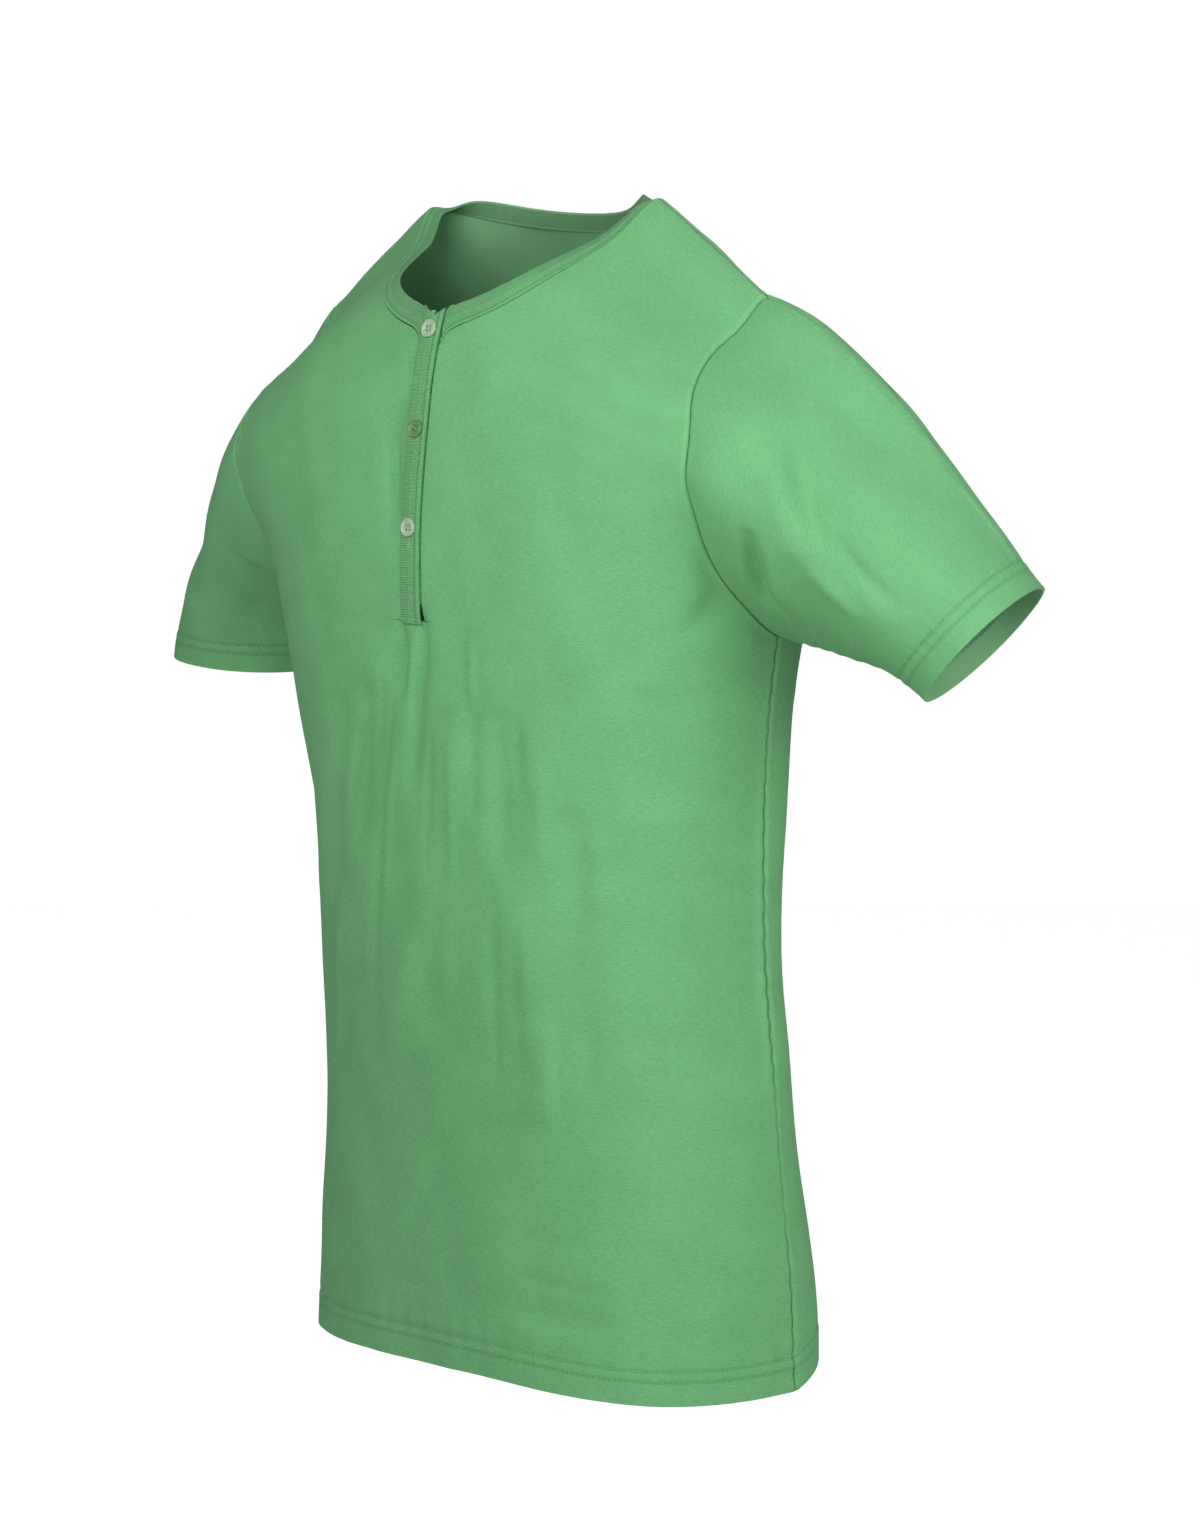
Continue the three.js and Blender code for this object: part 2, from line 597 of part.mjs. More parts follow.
function fromSolid(solid) {
  const mesh = solid.getMesh();
  const geometry = new THREE.BufferGeometry();
  geometry.setAttribute("position", new THREE.Float32BufferAttribute(mesh.vertProperties, 3));
  geometry.setIndex(Array.from(mesh.triVerts));
  return geometry;
}

// A button that lies on its back: a raised rim round a dished middle with four holes.
function buttonGeometry() {
  const profile = BUTTON_PROFILE.map(({ radius, height }) => new THREE.Vector2(radius, height));
  let button = toSolid(new THREE.LatheGeometry(profile, ROUND_SEGMENTS));
  for (const [x, z] of [[1, 1], [-1, 1], [-1, -1], [1, -1]]) {
    const hole = new THREE.CylinderGeometry(BUTTON_HOLE, BUTTON_HOLE, 8, 8);
    hole.translate(x * BUTTON_HOLE_OFF, 0, z * BUTTON_HOLE_OFF);
    button = button.subtract(toSolid(hole));
  }
  return fromSolid(button);
}

const JERSEY = new THREE.MeshStandardMaterial({ color: 0x63ad6d, roughness: 0.92, metalness: 0 });
const RIB = new THREE.MeshStandardMaterial({ color: 0x66af70, roughness: 0.9, metalness: 0 });
const PALE_BUTTON = new THREE.MeshStandardMaterial({ color: 0xc3d2bb, roughness: 0.35, metalness: 0 });
const OLIVE_BUTTON = new THREE.MeshStandardMaterial({ color: 0x6f8f66, roughness: 0.35, metalness: 0 });

const shirt = new THREE.Group();
shirt.name = "henley_shirt";

function add(name, geometry, material) {
  const mesh = new THREE.Mesh(geometry, material);
  mesh.name = name;
  shirt.add(mesh);
  return mesh;
}

add("front_panel", wallGeometry(panelSheet(-1)), JERSEY);
add("back_panel", wallGeometry(panelSheet(1)), JERSEY);
add("left_sleeve", wallGeometry(sleeveSheet(1)), JERSEY);
add("right_sleeve", wallGeometry(sleeveSheet(-1)), JERSEY);
add("neckband", wallGeometry(bandSheet()), RIB);
add("upper_placket", wallGeometry(placketSheet(UPPER_PLACKET)), RIB);
add("under_placket", wallGeometry(placketSheet(UNDER_PLACKET)), RIB);

BUTTON_HEIGHTS.forEach((z, i) => {
  const { place, normal } = frontPoint(0, z);
  const button = add(`button_${i + 1}`, buttonGeometry(), i === 1 ? OLIVE_BUTTON : PALE_BUTTON);
  const lift = UPPER_PLACKET.lift + PLACKET_WALL / 2 + BUTTON_GAP;
  button.position.copy(place).addScaledVector(normal, lift);
  button.quaternion.setFromUnitVectors(new THREE.Vector3(0, 1, 0), normal);
});

export default shirt;
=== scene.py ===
import math

import bpy
import numpy as np
from mathutils import Matrix, Vector


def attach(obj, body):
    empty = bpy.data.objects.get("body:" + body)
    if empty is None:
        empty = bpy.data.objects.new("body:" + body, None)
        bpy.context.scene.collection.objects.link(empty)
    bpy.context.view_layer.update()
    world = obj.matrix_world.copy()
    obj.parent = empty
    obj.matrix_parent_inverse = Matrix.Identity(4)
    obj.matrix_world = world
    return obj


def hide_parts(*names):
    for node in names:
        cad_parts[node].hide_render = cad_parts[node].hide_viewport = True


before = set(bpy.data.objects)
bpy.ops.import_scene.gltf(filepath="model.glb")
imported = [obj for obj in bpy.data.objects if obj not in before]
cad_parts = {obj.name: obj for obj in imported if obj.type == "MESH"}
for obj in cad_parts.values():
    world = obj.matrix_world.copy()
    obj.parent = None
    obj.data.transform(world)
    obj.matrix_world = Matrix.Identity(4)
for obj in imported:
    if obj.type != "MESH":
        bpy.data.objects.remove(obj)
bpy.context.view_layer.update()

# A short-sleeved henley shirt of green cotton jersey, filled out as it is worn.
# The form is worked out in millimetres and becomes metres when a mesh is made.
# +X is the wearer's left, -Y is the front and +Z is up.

bl_info = {
    "name": "Henley Shirt",
    "version": (1, 0, 0),
    "blender": (4, 5, 0),
    "location": "View3D > Sidebar > Henley",
    "description": "Builds a henley shirt of jersey and rib knit with its sewing and buttons",
    "category": "Add Mesh",
}

METRE = 0.001


def table(names, *rows):
    """Rows of numbers under named columns."""
    columns = zip(names.split(), zip(*rows))
    return {name: np.array(values, float) for name, values in columns}


# Cloth and seams
SEAM_GAP = 0.3
HEM_DEPTH = 24
CUFF_DEPTH = 22
OUTER_SIDE = 0.8  # from the middle of the solid's wall to the cloth's outer side

# Neck
NECK_HALF = 101
NECK_DROP_BACK = 16
BAND_WIDTH = 15.5
BAND_END = 22
BAND_END_GAP = 0.8
BAND_SEAM_GAP = 0.4
BAND_LEAN_BACK = 0.1
BAND_LEAN_SHOULDER = 1.0

# Placket and buttons
PLACKET_HALF = 8.5
PLACKET_TOP = -70
PLACKET_TOP_SLOPE = 0.5
UPPER_PLACKET = {"half": 8.5, "bottom": -258, "lift": 2.1}
UNDER_PLACKET = {"half": 8.1, "bottom": -246, "lift": -0.1}
PLACKET_WALL = 1.5
BUTTON_HEIGHTS = (-79, -139, -199)
BUTTON_TWISTS = (8, -14, 5)  # how far each is turned, in degrees
BUTTONHOLE_SHIFTS = (3.2, 2.8, -4.6)  # from each button's middle to its buttonhole's
BUTTON_GAP = 0.15
BUTTON_HOLE_OFF = 1.25

NECKLINE = table("x z", (8.5, -88), (16, -79), (34, -73), (52, -65), (70, -52), (86, -31), (101, 0))

SHOULDER_HALF = 187
SHOULDER_ROUND = 60

BODY_COLUMNS = "z half front back side square_front square_back drop"
BODY_LEVELS = table(
    BODY_COLUMNS,
    (-730, 184, 95, 117, 39, 2.6, 2.3, 0),
    (-660, 181, 92, 113, 38, 2.6, 2.3, 0),
    (-590, 175, 90, 102, 35, 2.6, 2.3, 0),
    (-520, 171, 94, 92, 32, 2.6, 2.3, 0),
    (-455, 168, 101, 88, 29, 2.6, 2.3, 0),
    (-390, 170, 103, 93, 25, 2.6, 2.3, 0),
    (-325, 178, 105, 99, 19, 2.7, 2.3, 0),
    (-256, 191, 108, 100, 14, 2.8, 2.3, 6),
    (-198, 207, 108, 105, 9, 2.8, 2.4, 18),
    (-139, 230, 102, 107, 5, 3.2, 2.4, 36),
    (-85, 250, 92, 100, 3, 3.5, 2.4, 60),
    (-35, 256, 71, 84, 2, 3.6, 2.4, 80),
    (10, 250, 26, 40, 3, 3.1, 2.4, 97),
    (47, 250, -4, 4, 4, 2.6, 2.4, 105),
)
HEM_RISE_BACK = 30
HEM_RISE_FRONT = 9
HEM_SQUARE_LEFT = 6
HEM_SQUARE_RIGHT = 1.5
HEM_RISE_FADES = 170
UNDERARM_LEVEL = 7
CROWN_LEVEL = 13

ARMHOLE = table(
    "front back",
    (1.0, 1.0),
    (0.89, 0.9),
    (0.75, 0.79),
    (0.63, 0.71),
    (0.53, 0.65),
    (0.475, 0.59),
    (0.44, 0.53),
    (0.5, 0.5),
)
ARMHOLE_BOTTOM_ROUND = 1.7

CUFF_LEFT = {
    "middle": (334, 36, -262),
    "faces": (0.652, 0.305, -0.69),
    "top": (0, 0, 1),
    "tall": 46,
    "wide": 52,
    "swing": 235,
    "swell": 0.3,
}
CUFF_RIGHT = {
    "middle": (316, 30, -301),
    "faces": (0.12, 0.03, -0.99),
    "top": (1, 0, 0),
    "tall": 50,
    "wide": 52,
    "swing": 80,
    "swell": 0.1,
}
LEAVES_TOP = (0.86, 0.02, -0.46)
LEAVES_BOTTOM = (0.75, 0.12, -0.2)
PULL_BOTTOM = 80
PULL_CUFF = 110
SLEEVE_EASE = 0.178  # the share of a sleeve over which it leaves the armhole's own direction

# Main folds as the solids have them, seen from the front, from (x, z) to (x2, z2)
FOLD_COLUMNS = "x z x2 z2 width rise"
FRONT_FOLDS = table(
    FOLD_COLUMNS,
    (12, -252, -7, -361, 7, -2.4),
    (-7, -256, -17, -304, 7, -2),
    (-16, -269, -33, -363, 8, -1.8),
    (-42, -292, -64, -405, 11, -2.4),
    (-69, -305, -103, -455, 13, -2.8),
    (18, -395, -45, -540, 15, 2.6),
    (48, -300, 46, -380, 8, -1.6),
    (71, -305, 67, -410, 10, -2),
    (116, -365, 113, -450, 11, -2.2),
    (111, -435, 108, -535, 11, -2),
    (89, -495, 87, -565, 12, 2),
    (160, -290, 158, -370, 12, -2.4),
    (163, -400, 172, -540, 14, -2.2),
    (-24, -120, -16, -195, 9, -2.4),
    (252, -205, 222, -247, 9, -3),
    (264, -196, 234, -243, 9, 2),
    (258, -132, 312, -240, 11, -2.6),
    (263, -155, 274, -216, 10, 2),
    (312, -190, 328, -244, 10, -2),
    (-228, -228, -266, -288, 10, -2.6),
    (-262, -150, -300, -262, 12, -2),
    (60, -672, 132, -680, 9, -1.6),
)
BACK_FOLDS = table(
    FOLD_COLUMNS,
    (-74, -140, -42, -300, 17, -2.6),
    (79, -155, 52, -325, 16, -2.4),
    (-128, -418, -22, -462, 15, -2.8),
    (122, -440, 30, -498, 14, -2.4),
    (58, -520, 74, -665, 15, -2.2),
    (-84, -505, -96, -640, 14, -2),
    (-10, -560, -4, -690, 16, 2),
    (150, -275, 132, -400, 14, -2.4),
    (-152, -268, -140, -385, 14, -2.6),
    (236, -150, 296, -225, 12, -2.4),
    (222, -205, 262, -252, 10, -2.2),
    (-236, -175, -280, -262, 12, -2.4),
)

# Finer creases that only the cloth shows
FRONT_CREASES = table(
    FOLD_COLUMNS,
    (9.5, -246, 7, -296, 2.0, -1.1),
    (7, -262, -4, -330, 3.0, -0.9),
    (-9.5, -250, -11, -286, 1.9, -0.9),
    (-9, -262, -14, -310, 3.0, -0.6),
    (0, -264, -5, -300, 4, 0.4),
    (-28, -285, -41, -352, 4, -0.7),
    (-55, -318, -76, -398, 5, -0.8),
    (50, -262, 49, -306, 3, 0.6),
    (82, -310, 81, -364, 5, -0.8),
    (97, -330, 94, -402, 6, 0.7),
    (128, -372, 124, -430, 6, 0.6),
    (120, -478, 117, -540, 6, -0.8),
    (142, -330, 139, -398, 6, 0.6),
    (171, -350, 169, -424, 6, -0.9),
    (30, -420, 12, -500, 9, 0.6),
    (-12, -98, -19, -136, 4, -1.1),
    (-27, -140, -17, -196, 3.5, -1.3),
    (205, -158, 196, -238, 5, -1.3),
    (199, -206, 186, -264, 5, -1.4),
    (66, -630, 119, -636, 4, -0.6),
    (71, -657, 131, -663, 3.5, -0.7),
    (49, -678, 132, -685, 3.5, -0.7),
    (-96, -640, -40, -652, 5, -0.5),
    (-60, -668, 10, -676, 4, -0.5),
    (-130, -330, -142, -420, 8, -0.8),
    (-150, -452, -158, -560, 9, -0.7),
    (262, -120, 296, -162, 5, -0.8),
    (282, -176, 300, -220, 5, 0.7),
    (240, -232, 214, -262, 4, -0.9),
    (-18, -300, -36, -430, 3.5, 0.5),
    (-34, -380, -52, -520, 5, -0.6),
    (14, -320, 6, -410, 3.5, -0.5),
    (30, -330, 27, -425, 4, 0.5),
    (62, -420, 54, -540, 5, -0.6),
    (84, -420, 80, -520, 4, 0.5),
    (98, -450, 100, -560, 4, -0.5),
    (132, -450, 140, -560, 5, 0.5),
    (150, -420, 158, -520, 4, -0.5),
    (-80, -420, -112, -560, 6, 0.6),
    (-100, -340, -124, -440, 5, 0.5),
    (20, -560, -30, -650, 7, -0.5),
    (196, -232, 176, -262, 4, -0.8),
    (203, -186, 199, -232, 4, 0.6),
    (257, -134, 288, -200, 6, -1.9),
    (244, -194, 222, -242, 5, -2.6),
    (254, -204, 244, -238, 4.5, 1.0),
    (288, -196, 324, -240, 5.5, -1.5),
    (276, -214, 300, -246, 5, 1.0),
    (-258, -150, -284, -214, 8, -1.0),
    (-236, -206, -262, -250, 5, -0.8),
    (-210, -236, -232, -268, 4, -0.7),
)
BACK_CREASES = table(
    FOLD_COLUMNS,
    (-40, -120, -26, -236, 8, -0.7),
    (46, -118, 30, -220, 8, -0.7),
    (-96, -402, -10, -436, 6, -0.8),
    (88, -426, 8, -470, 6, -0.7),
    (-110, -470, -30, -500, 7, 0.6),
    (100, -510, 60, -590, 7, -0.6),
    (-58, -560, -66, -660, 7, -0.6),
    (28, -600, 34, -690, 7, 0.5),
    (-74, -176, -60, -330, 10, -1.0),
    (-22, -250, -12, -420, 9, 0.9),
    (22, -250, 12, -420, 8, -1.0),
    (66, -196, 60, -340, 9, 0.8),
    (-104, -290, -84, -430, 8, 0.8),
    (110, -300, 94, -430, 8, -1.0),
    (-38, -440, -48, -600, 8, -1.1),
    (2, -470, -6, -640, 9, 0.9),
    (44, -480, 54, -640, 7, -1.0),
    (88, -520, 96, -670, 8, 0.8),
    (-92, -520, -102, -650, 7, -1.0),
    (-138, -420, -150, -540, 8, 0.8),
    (140, -420, 152, -560, 7, -0.9),
    (-118, -650, -20, -664, 5, -0.6),
    (30, -668, 128, -676, 4, -0.6),
    (190, -170, 178, -262, 7, -1.1),
    (-190, -172, -176, -258, 7, -1.1),
    (258, -140, 292, -208, 8, -1.2),
    (-256, -150, -286, -220, 8, -1.2),
    (166, -300, 152, -380, 6, -0.9),
    (-166, -300, -158, -372, 6, -0.9),
    (250, -176, 300, -236, 6, -0.8),
    (-246, -190, -276, -250, 6, -0.7),
)

# Waves of different lengths and directions that keep the cloth from being perfectly even
UNEVEN = table(
    "along up phase rise",
    (1 / 150, 1 / 260, 0.4, 0.5),
    (1 / 95, -1 / 180, 2.1, 0.4),
    (1 / 61, 1 / 140, 4.0, 0.3),
    (-1 / 47, 1 / 88, 1.2, 0.16),
    (1 / 33, 1 / 120, 5.1, 0.1),
)

FOLD_GAIN = 1.45  # the cloth shows its main folds more sharply than the solids do

# Marks on the cloth. In the seam marks, a painted highlight on a ridge is above 0 and painted shade
# in a groove or seam below 0
HEM_LINES = (14.5, 21.0)
CUFF_LINES = (13.0, 19.5)
HEM_INNER = (14.2, 21.6)
CUFF_INNER = (12.4, 20.4)
SHOULDER_LINES = (2.2, 5.2)
BAND_LANES = (4.4, 6.2, 8.0)
STRIP_LANES = (-0.6, 1.2, 3.0)
LINE_GROOVE = 0.9
GROOVE_DEPTH = 0.3
# painted shade: how strongly a stitch groove darkens the cloth's colour
GROOVE_PAINTED_SHADE = 0.55
HEM_EXTRA = 0.1
TURN_STEP = 1.5  # over which the doubled cloth of a hem rises

# Grids
HEM_ROWS = 30
CUFF_ROWS = 28
BODY_ROWS = 120
ARMHOLE_ROWS_LOW = 42
ARMHOLE_ROWS_HIGH = 44
HALF_COLUMNS = 84
CENTRE_CROWDING = 0.45  # how much closer the columns stand near the centre
EDGE_COLUMNS = (5.4, 3.9, 2.7, 1.8, 1.0, 0.4, 0.0)  # distances from the outer edge
SLEEVE_RINGS = 66
BAND_COLUMNS = 34
PLACKET_ROWS = 96
PLACKET_COLUMNS = 34


def mix(a, b, share):
    return a + (b - a) * share


def bell(distance, width):
    """1 at no distance, fading out softly over about twice the width."""
    return np.exp(-((distance / width) ** 2))


def column(rows, name, at):
    """One column of a table at fractional rows, on a smooth curve through the rows."""
    values = rows[name]
    last = len(values) - 1
    at = np.asarray(at, float)
    i = np.clip(np.floor(at).astype(int), 0, last - 1)
    s = at - i
    a, b, c, d = (values[np.clip(i + k, 0, last)] for k in (-1, 0, 1, 2))
    square = 2 * a - 5 * b + 4 * c - d
    cube = 3 * b - a - 3 * c + d
    return 0.5 * (2 * b + (c - a) * s + square * s**2 + cube * s**3)


def solve(rising, low, high):
    """The values between low and high at which a rising function reaches zero."""
    for _ in range(36):
        middle = (low + high) / 2
        below = rising(middle) < 0
        low = np.where(below, middle, low)
        high = np.where(below, high, middle)
    return (low + high) / 2


def with_crown(rows):
    """Past the shoulder line the levels run down the other face, so the line is rounded."""
    extra = {name: values[CROWN_LEVEL - 1] for name, values in rows.items()}
    for name in ("front", "back"):
        extra[name] = 2 * rows[name][CROWN_LEVEL] - rows[name][CROWN_LEVEL - 1]
    return {name: np.append(values, extra[name]) for name, values in rows.items()}


BODY = with_crown(BODY_LEVELS)


def drop_share(x):
    def curve(u):
        return u * u / (u + SHOULDER_ROUND)

    return curve(np.abs(x)) / curve(SHOULDER_HALF)


def smooth_point(face, turn, level, hand):
    """The body's smooth form. face is -1 on the front and 1 on the back, turn runs from 0 at
    the centre to 1 at the side seam, level counts up the table, and hand is 1 on the left.
    The right half is given mirrored, as if it were the left."""
    turn, level = np.broadcast_arrays(np.asarray(turn, float), np.asarray(level, float))
    side = column(BODY, "side", level)
    depth = column(BODY, "front" if face < 0 else "back", level) - face * side
    square = column(BODY, "square_front" if face < 0 else "square_back", level)
    sine, cosine = np.sin(turn * math.pi / 2), np.cos(turn * math.pi / 2)
    reach = (np.abs(sine) ** square + np.abs(cosine) ** square) ** (-1 / square)
    x = column(BODY, "half", level) * reach * sine
    y = side + face * depth * reach * cosine
    height = column(BODY, "z", level)
    low = np.clip(1 - (height - BODY["z"][0]) / HEM_RISE_FADES, 0, 1) ** 2
    near = np.abs(reach * cosine)
    front = HEM_RISE_FRONT * near ** (HEM_SQUARE_RIGHT if hand < 0 else HEM_SQUARE_LEFT)
    rise = low * (front if face < 0 else HEM_RISE_BACK * near)
    z = height - column(BODY, "drop", level) * drop_share(x) + rise
    return np.stack([x, y, z], axis=-1)


def unit(vectors):
    return vectors / np.maximum(np.linalg.norm(vectors, axis=-1, keepdims=True), 1e-9)


def smooth_normal(face, turn, level, hand):
    step = 0.004
    ahead, behind = (smooth_point(face, turn + way * step, level, hand) for way in (1, -1))
    across = ahead - behind
    up = smooth_point(face, turn, level + step, hand) - smooth_point(face, turn, level - step, hand)
    return unit(np.cross(across, up) * -face)


def fold_rise(folds, x, z):
    """How far the folds of a table lift the cloth at places seen from the front."""
    rise = np.zeros_like(x)
    for x1, z1, x2, z2, width, height in zip(*(folds[name] for name in FOLD_COLUMNS.split())):
        dx, dz = x2 - x1, z2 - z1
        along = ((x - x1) * dx + (z - z1) * dz) / (dx * dx + dz * dz)
        off = np.hypot(x - x1 - along * dx, z - z1 - along * dz)
        swell = np.clip(4 * along * (1 - along), 0, 1) ** 0.7
        rise += height * swell * bell(off, width)
    return rise


def uneven_rise(u, v):
    rise = np.zeros_like(u)
    for along, up, phase, height in zip(*UNEVEN.values()):
        rise += height * np.sin(2 * math.pi * (u * along + v * up) + phase)
    return rise


def mirrored(vectors, hand):
    return vectors * np.array([hand, 1, 1])


def cloth_rise(face, x, z, strength):
    """Main folds, finer creases and unevenness at places seen from the front."""
    folds, creases = (FRONT_FOLDS, FRONT_CREASES) if face < 0 else (BACK_FOLDS, BACK_CREASES)
    rise = FOLD_GAIN * fold_rise(folds, x, z) + strength * fold_rise(creases, x, z)
    return rise + uneven_rise(x + 400 * face, z)


def turn_at_x(face, x, level):
    level = np.asarray(level, float)
    low, high = np.full(level.shape, -0.2), np.ones(level.shape)
    return solve(lambda turn: smooth_point(face, turn, level, 1)[..., 0] - x, low, high)


def level_at_height(z):
    top = np.array(float(CROWN_LEVEL))
    return solve(lambda level: column(BODY, "z", level) - z, np.array(0.0), top)


def neckline_height(face, x):
    if face > 0:
        return -NECK_DROP_BACK * (1 - np.abs(x / NECK_HALF) ** 2.2)
    last = len(NECKLINE["x"]) - 1
    row = solve(lambda at: column(NECKLINE, "x", at) - x, np.zeros_like(x), np.full_like(x, last))
    return column(NECKLINE, "z", row)


def turn_at_neckline(face, level):
    def past(turn):
        p = smooth_point(face, turn, level, 1)
        return neckline_height(face, p[..., 0]) - p[..., 2]

    low = turn_at_x(face, PLACKET_HALF if face < 0 else 0, level)
    return solve(past, low, turn_at_x(face, NECK_HALF + 5, level))


def armhole_level(share):
    return mix(UNDERARM_LEVEL, CROWN_LEVEL, share**ARMHOLE_BOTTOM_ROUND)


def armhole_turn(face, share):
    name = "front" if face < 0 else "back"
    return column(ARMHOLE, name, share * (len(ARMHOLE[name]) - 1))


def panel_rows(face):
    """Rows of half a panel from hem to shoulder: level, share of the armhole, and the turns of
    the inner and outer edge. Rows below the armhole have a share of -1."""
    corner = level_at_height(NECKLINE["z"][0] if face < 0 else -NECK_DROP_BACK)
    risen = (corner - UNDERARM_LEVEL) / (CROWN_LEVEL - UNDERARM_LEVEL)
    neck_share = float(risen ** (1 / ARMHOLE_BOTTOM_ROUND))
    hem_top = float(level_at_height(BODY["z"][0] + HEM_DEPTH))
    low = np.concatenate([
        np.linspace(0, hem_top, HEM_ROWS),
        np.linspace(hem_top, UNDERARM_LEVEL, BODY_ROWS, endpoint=False)[1:],
    ])
    high = np.linspace(neck_share, 1, ARMHOLE_ROWS_HIGH)[1:]
    near_top = 1 - np.array([0.014, 0.008, 0.003])
    high = np.unique(np.concatenate([high, near_top]))
    shares = np.concatenate([np.linspace(0, neck_share, ARMHOLE_ROWS_LOW), high])
    level = np.concatenate([low, armhole_level(shares)])
    share = np.concatenate([np.full(len(low), -1.0), shares])
    cut = np.arange(len(level)) >= len(level) - len(high)
    slit = (face < 0) & (share > 0)
    outer = np.where(share < 0, 1, armhole_turn(face, np.clip(share, 0, 1)))
    inner = np.zeros(len(level))
    inner[slit] = turn_at_x(face, PLACKET_HALF, level[slit])
    inner[cut] = turn_at_neckline(face, level[cut])
    return {
        "level": level, "share": share, "inner": inner, "outer": outer, "cut": cut, "slit": slit,
    }


def even_turns(face, rows):
    """Turns of half a panel's columns: even along the cloth, and close at the outer edge."""
    samples = mix(rows["inner"][:, None], rows["outer"][:, None], np.linspace(0, 1, 160))
    path = smooth_point(face, samples, rows["level"][:, None], 1)
    steps = np.linalg.norm(np.diff(path, axis=1), axis=2)
    gone = np.concatenate([np.zeros((len(steps), 1)), np.cumsum(steps, axis=1)], axis=1)
    turns = []
    for row in range(len(steps)):
        length = gone[row, -1] - (SEAM_GAP / 2 if rows["share"][row] <= 0 else 0)
        even = np.linspace(0, 1, HALF_COLUMNS, endpoint=False)
        even = (length - EDGE_COLUMNS[0]) * mix(even, even**2, CENTRE_CROWDING)
        wanted = np.concatenate([even, length - np.array(EDGE_COLUMNS)])
        turns.append(np.interp(wanted, gone[row], samples[row]))
    return np.array(turns)


def lengths_along(places, axis):
    """Distances along a grid from its first row or column."""
    steps = np.linalg.norm(np.diff(places, axis=axis), axis=2)
    start = np.zeros_like(np.take(steps, [0], axis=axis))
    return np.concatenate([start, np.cumsum(steps, axis=axis)], axis=axis)


def seam_dip(distance, strength=1.0):
    """The cloth turns in at a seam, with a low swelling beside it."""
    swelling = 0.35 * bell(distance - 3, 2.2)
    return strength * (swelling - 0.7 * bell(distance, 1.1))


def pucker(distance, along, wave, height, reach):
    """Short uneven ripples that die out away from a seam."""
    ripple = np.sin(2 * math.pi * along / wave + 1.7 * np.sin(along / (2.3 * wave)))
    return height * ripple * np.exp(-distance / reach)


def painted_seam_light(distance, ridge):
    """Painted shade as a dark line at a seam, with a painted highlight as a paler line beside it.
    """
    pale = ridge * bell(distance - 2.2, 1.3)
    return pale - 0.6 * bell(distance, 0.6)


def inner_side(doubled, cloth):
    """How far the cloth's inner side stands back: further where a hem doubles it."""
    return cloth.thickness_mm + np.where(doubled, HEM_EXTRA, -OUTER_SIDE)


def turned_edge(distance, depth, start, height, line):
    """How a turned hem stands off: doubled cloth, with a line pressed in along its stitches."""
    doubled = np.clip((depth - start - distance) / TURN_STEP, 0, 1)
    return height * doubled - line * bell(distance - depth + 2.5, 2.0)


def stitch_grooves(distance, lines):
    """Narrow grooves that rows of stitches draw into the cloth."""
    return sum(bell(distance - line, LINE_GROOVE) for line in lines)


class Sheet:
    """A sheet of cloth: points with normals, how far its two sides stand off, and quads."""

    def __init__(self):
        # seam holds the painted light at each point: painted highlight above 0, painted shade below
        # 0
        self.places, self.normals, self.out, self.back, self.seam = [], [], [], [], []
        self.quads, self.uvs, self.grids = [], [], []
        self.count = 0

    def add_grid(self, places, normals, out, back, seam, uv, flipped, ids=None, wrap=False):
        """Adds a grid of rows and columns. ids reuses points that are already there."""
        rows, columns = places.shape[:2]
        fresh = np.full((rows, columns), -1) if ids is None else ids.copy()
        new = fresh < 0
        fresh[new] = self.count + np.arange(new.sum())
        self.count += int(new.sum())
        for store, values in (
            (self.places, places), (self.normals, normals), (self.out, out),
            (self.back, back), (self.seam, seam),
        ):
            store.append(np.broadcast_to(values, places.shape[:2] + values.shape[2:])[new])
        whole = np.concatenate([fresh, fresh[:, :1]], axis=1) if wrap else fresh
        corner = [(slice(None, -1), slice(None, -1)), (slice(None, -1), slice(1, None)),
                  (slice(1, None), slice(1, None)), (slice(1, None), slice(None, -1))]
        if flipped:
            corner.reverse()
        self.quads.append(np.stack([whole[c] for c in corner], axis=-1).reshape(-1, 4))
        self.uvs.append(np.stack([uv[c] for c in corner], axis=-2).reshape(-1, 4, 2))
        self.grids.append({"places": places, "normals": normals, "out": out, "back": back})
        return fresh

    def arrays(self):
        stores = (
            self.places, self.normals, self.out, self.back, self.seam, self.quads, self.uvs,
        )
        return [np.concatenate(store) for store in stores]


def link(mesh, name, material_slot, *nodes):
    """A finished piece: in the scene, on the body, standing for its nodes."""
    piece = bpy.data.objects.new(name, mesh)
    bpy.context.scene.collection.objects.link(piece)
    return declare(piece, material_slot, *nodes)


def declare(piece, material_slot, *nodes):
    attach(piece, "root")
    if nodes:
        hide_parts(*nodes)
    return piece


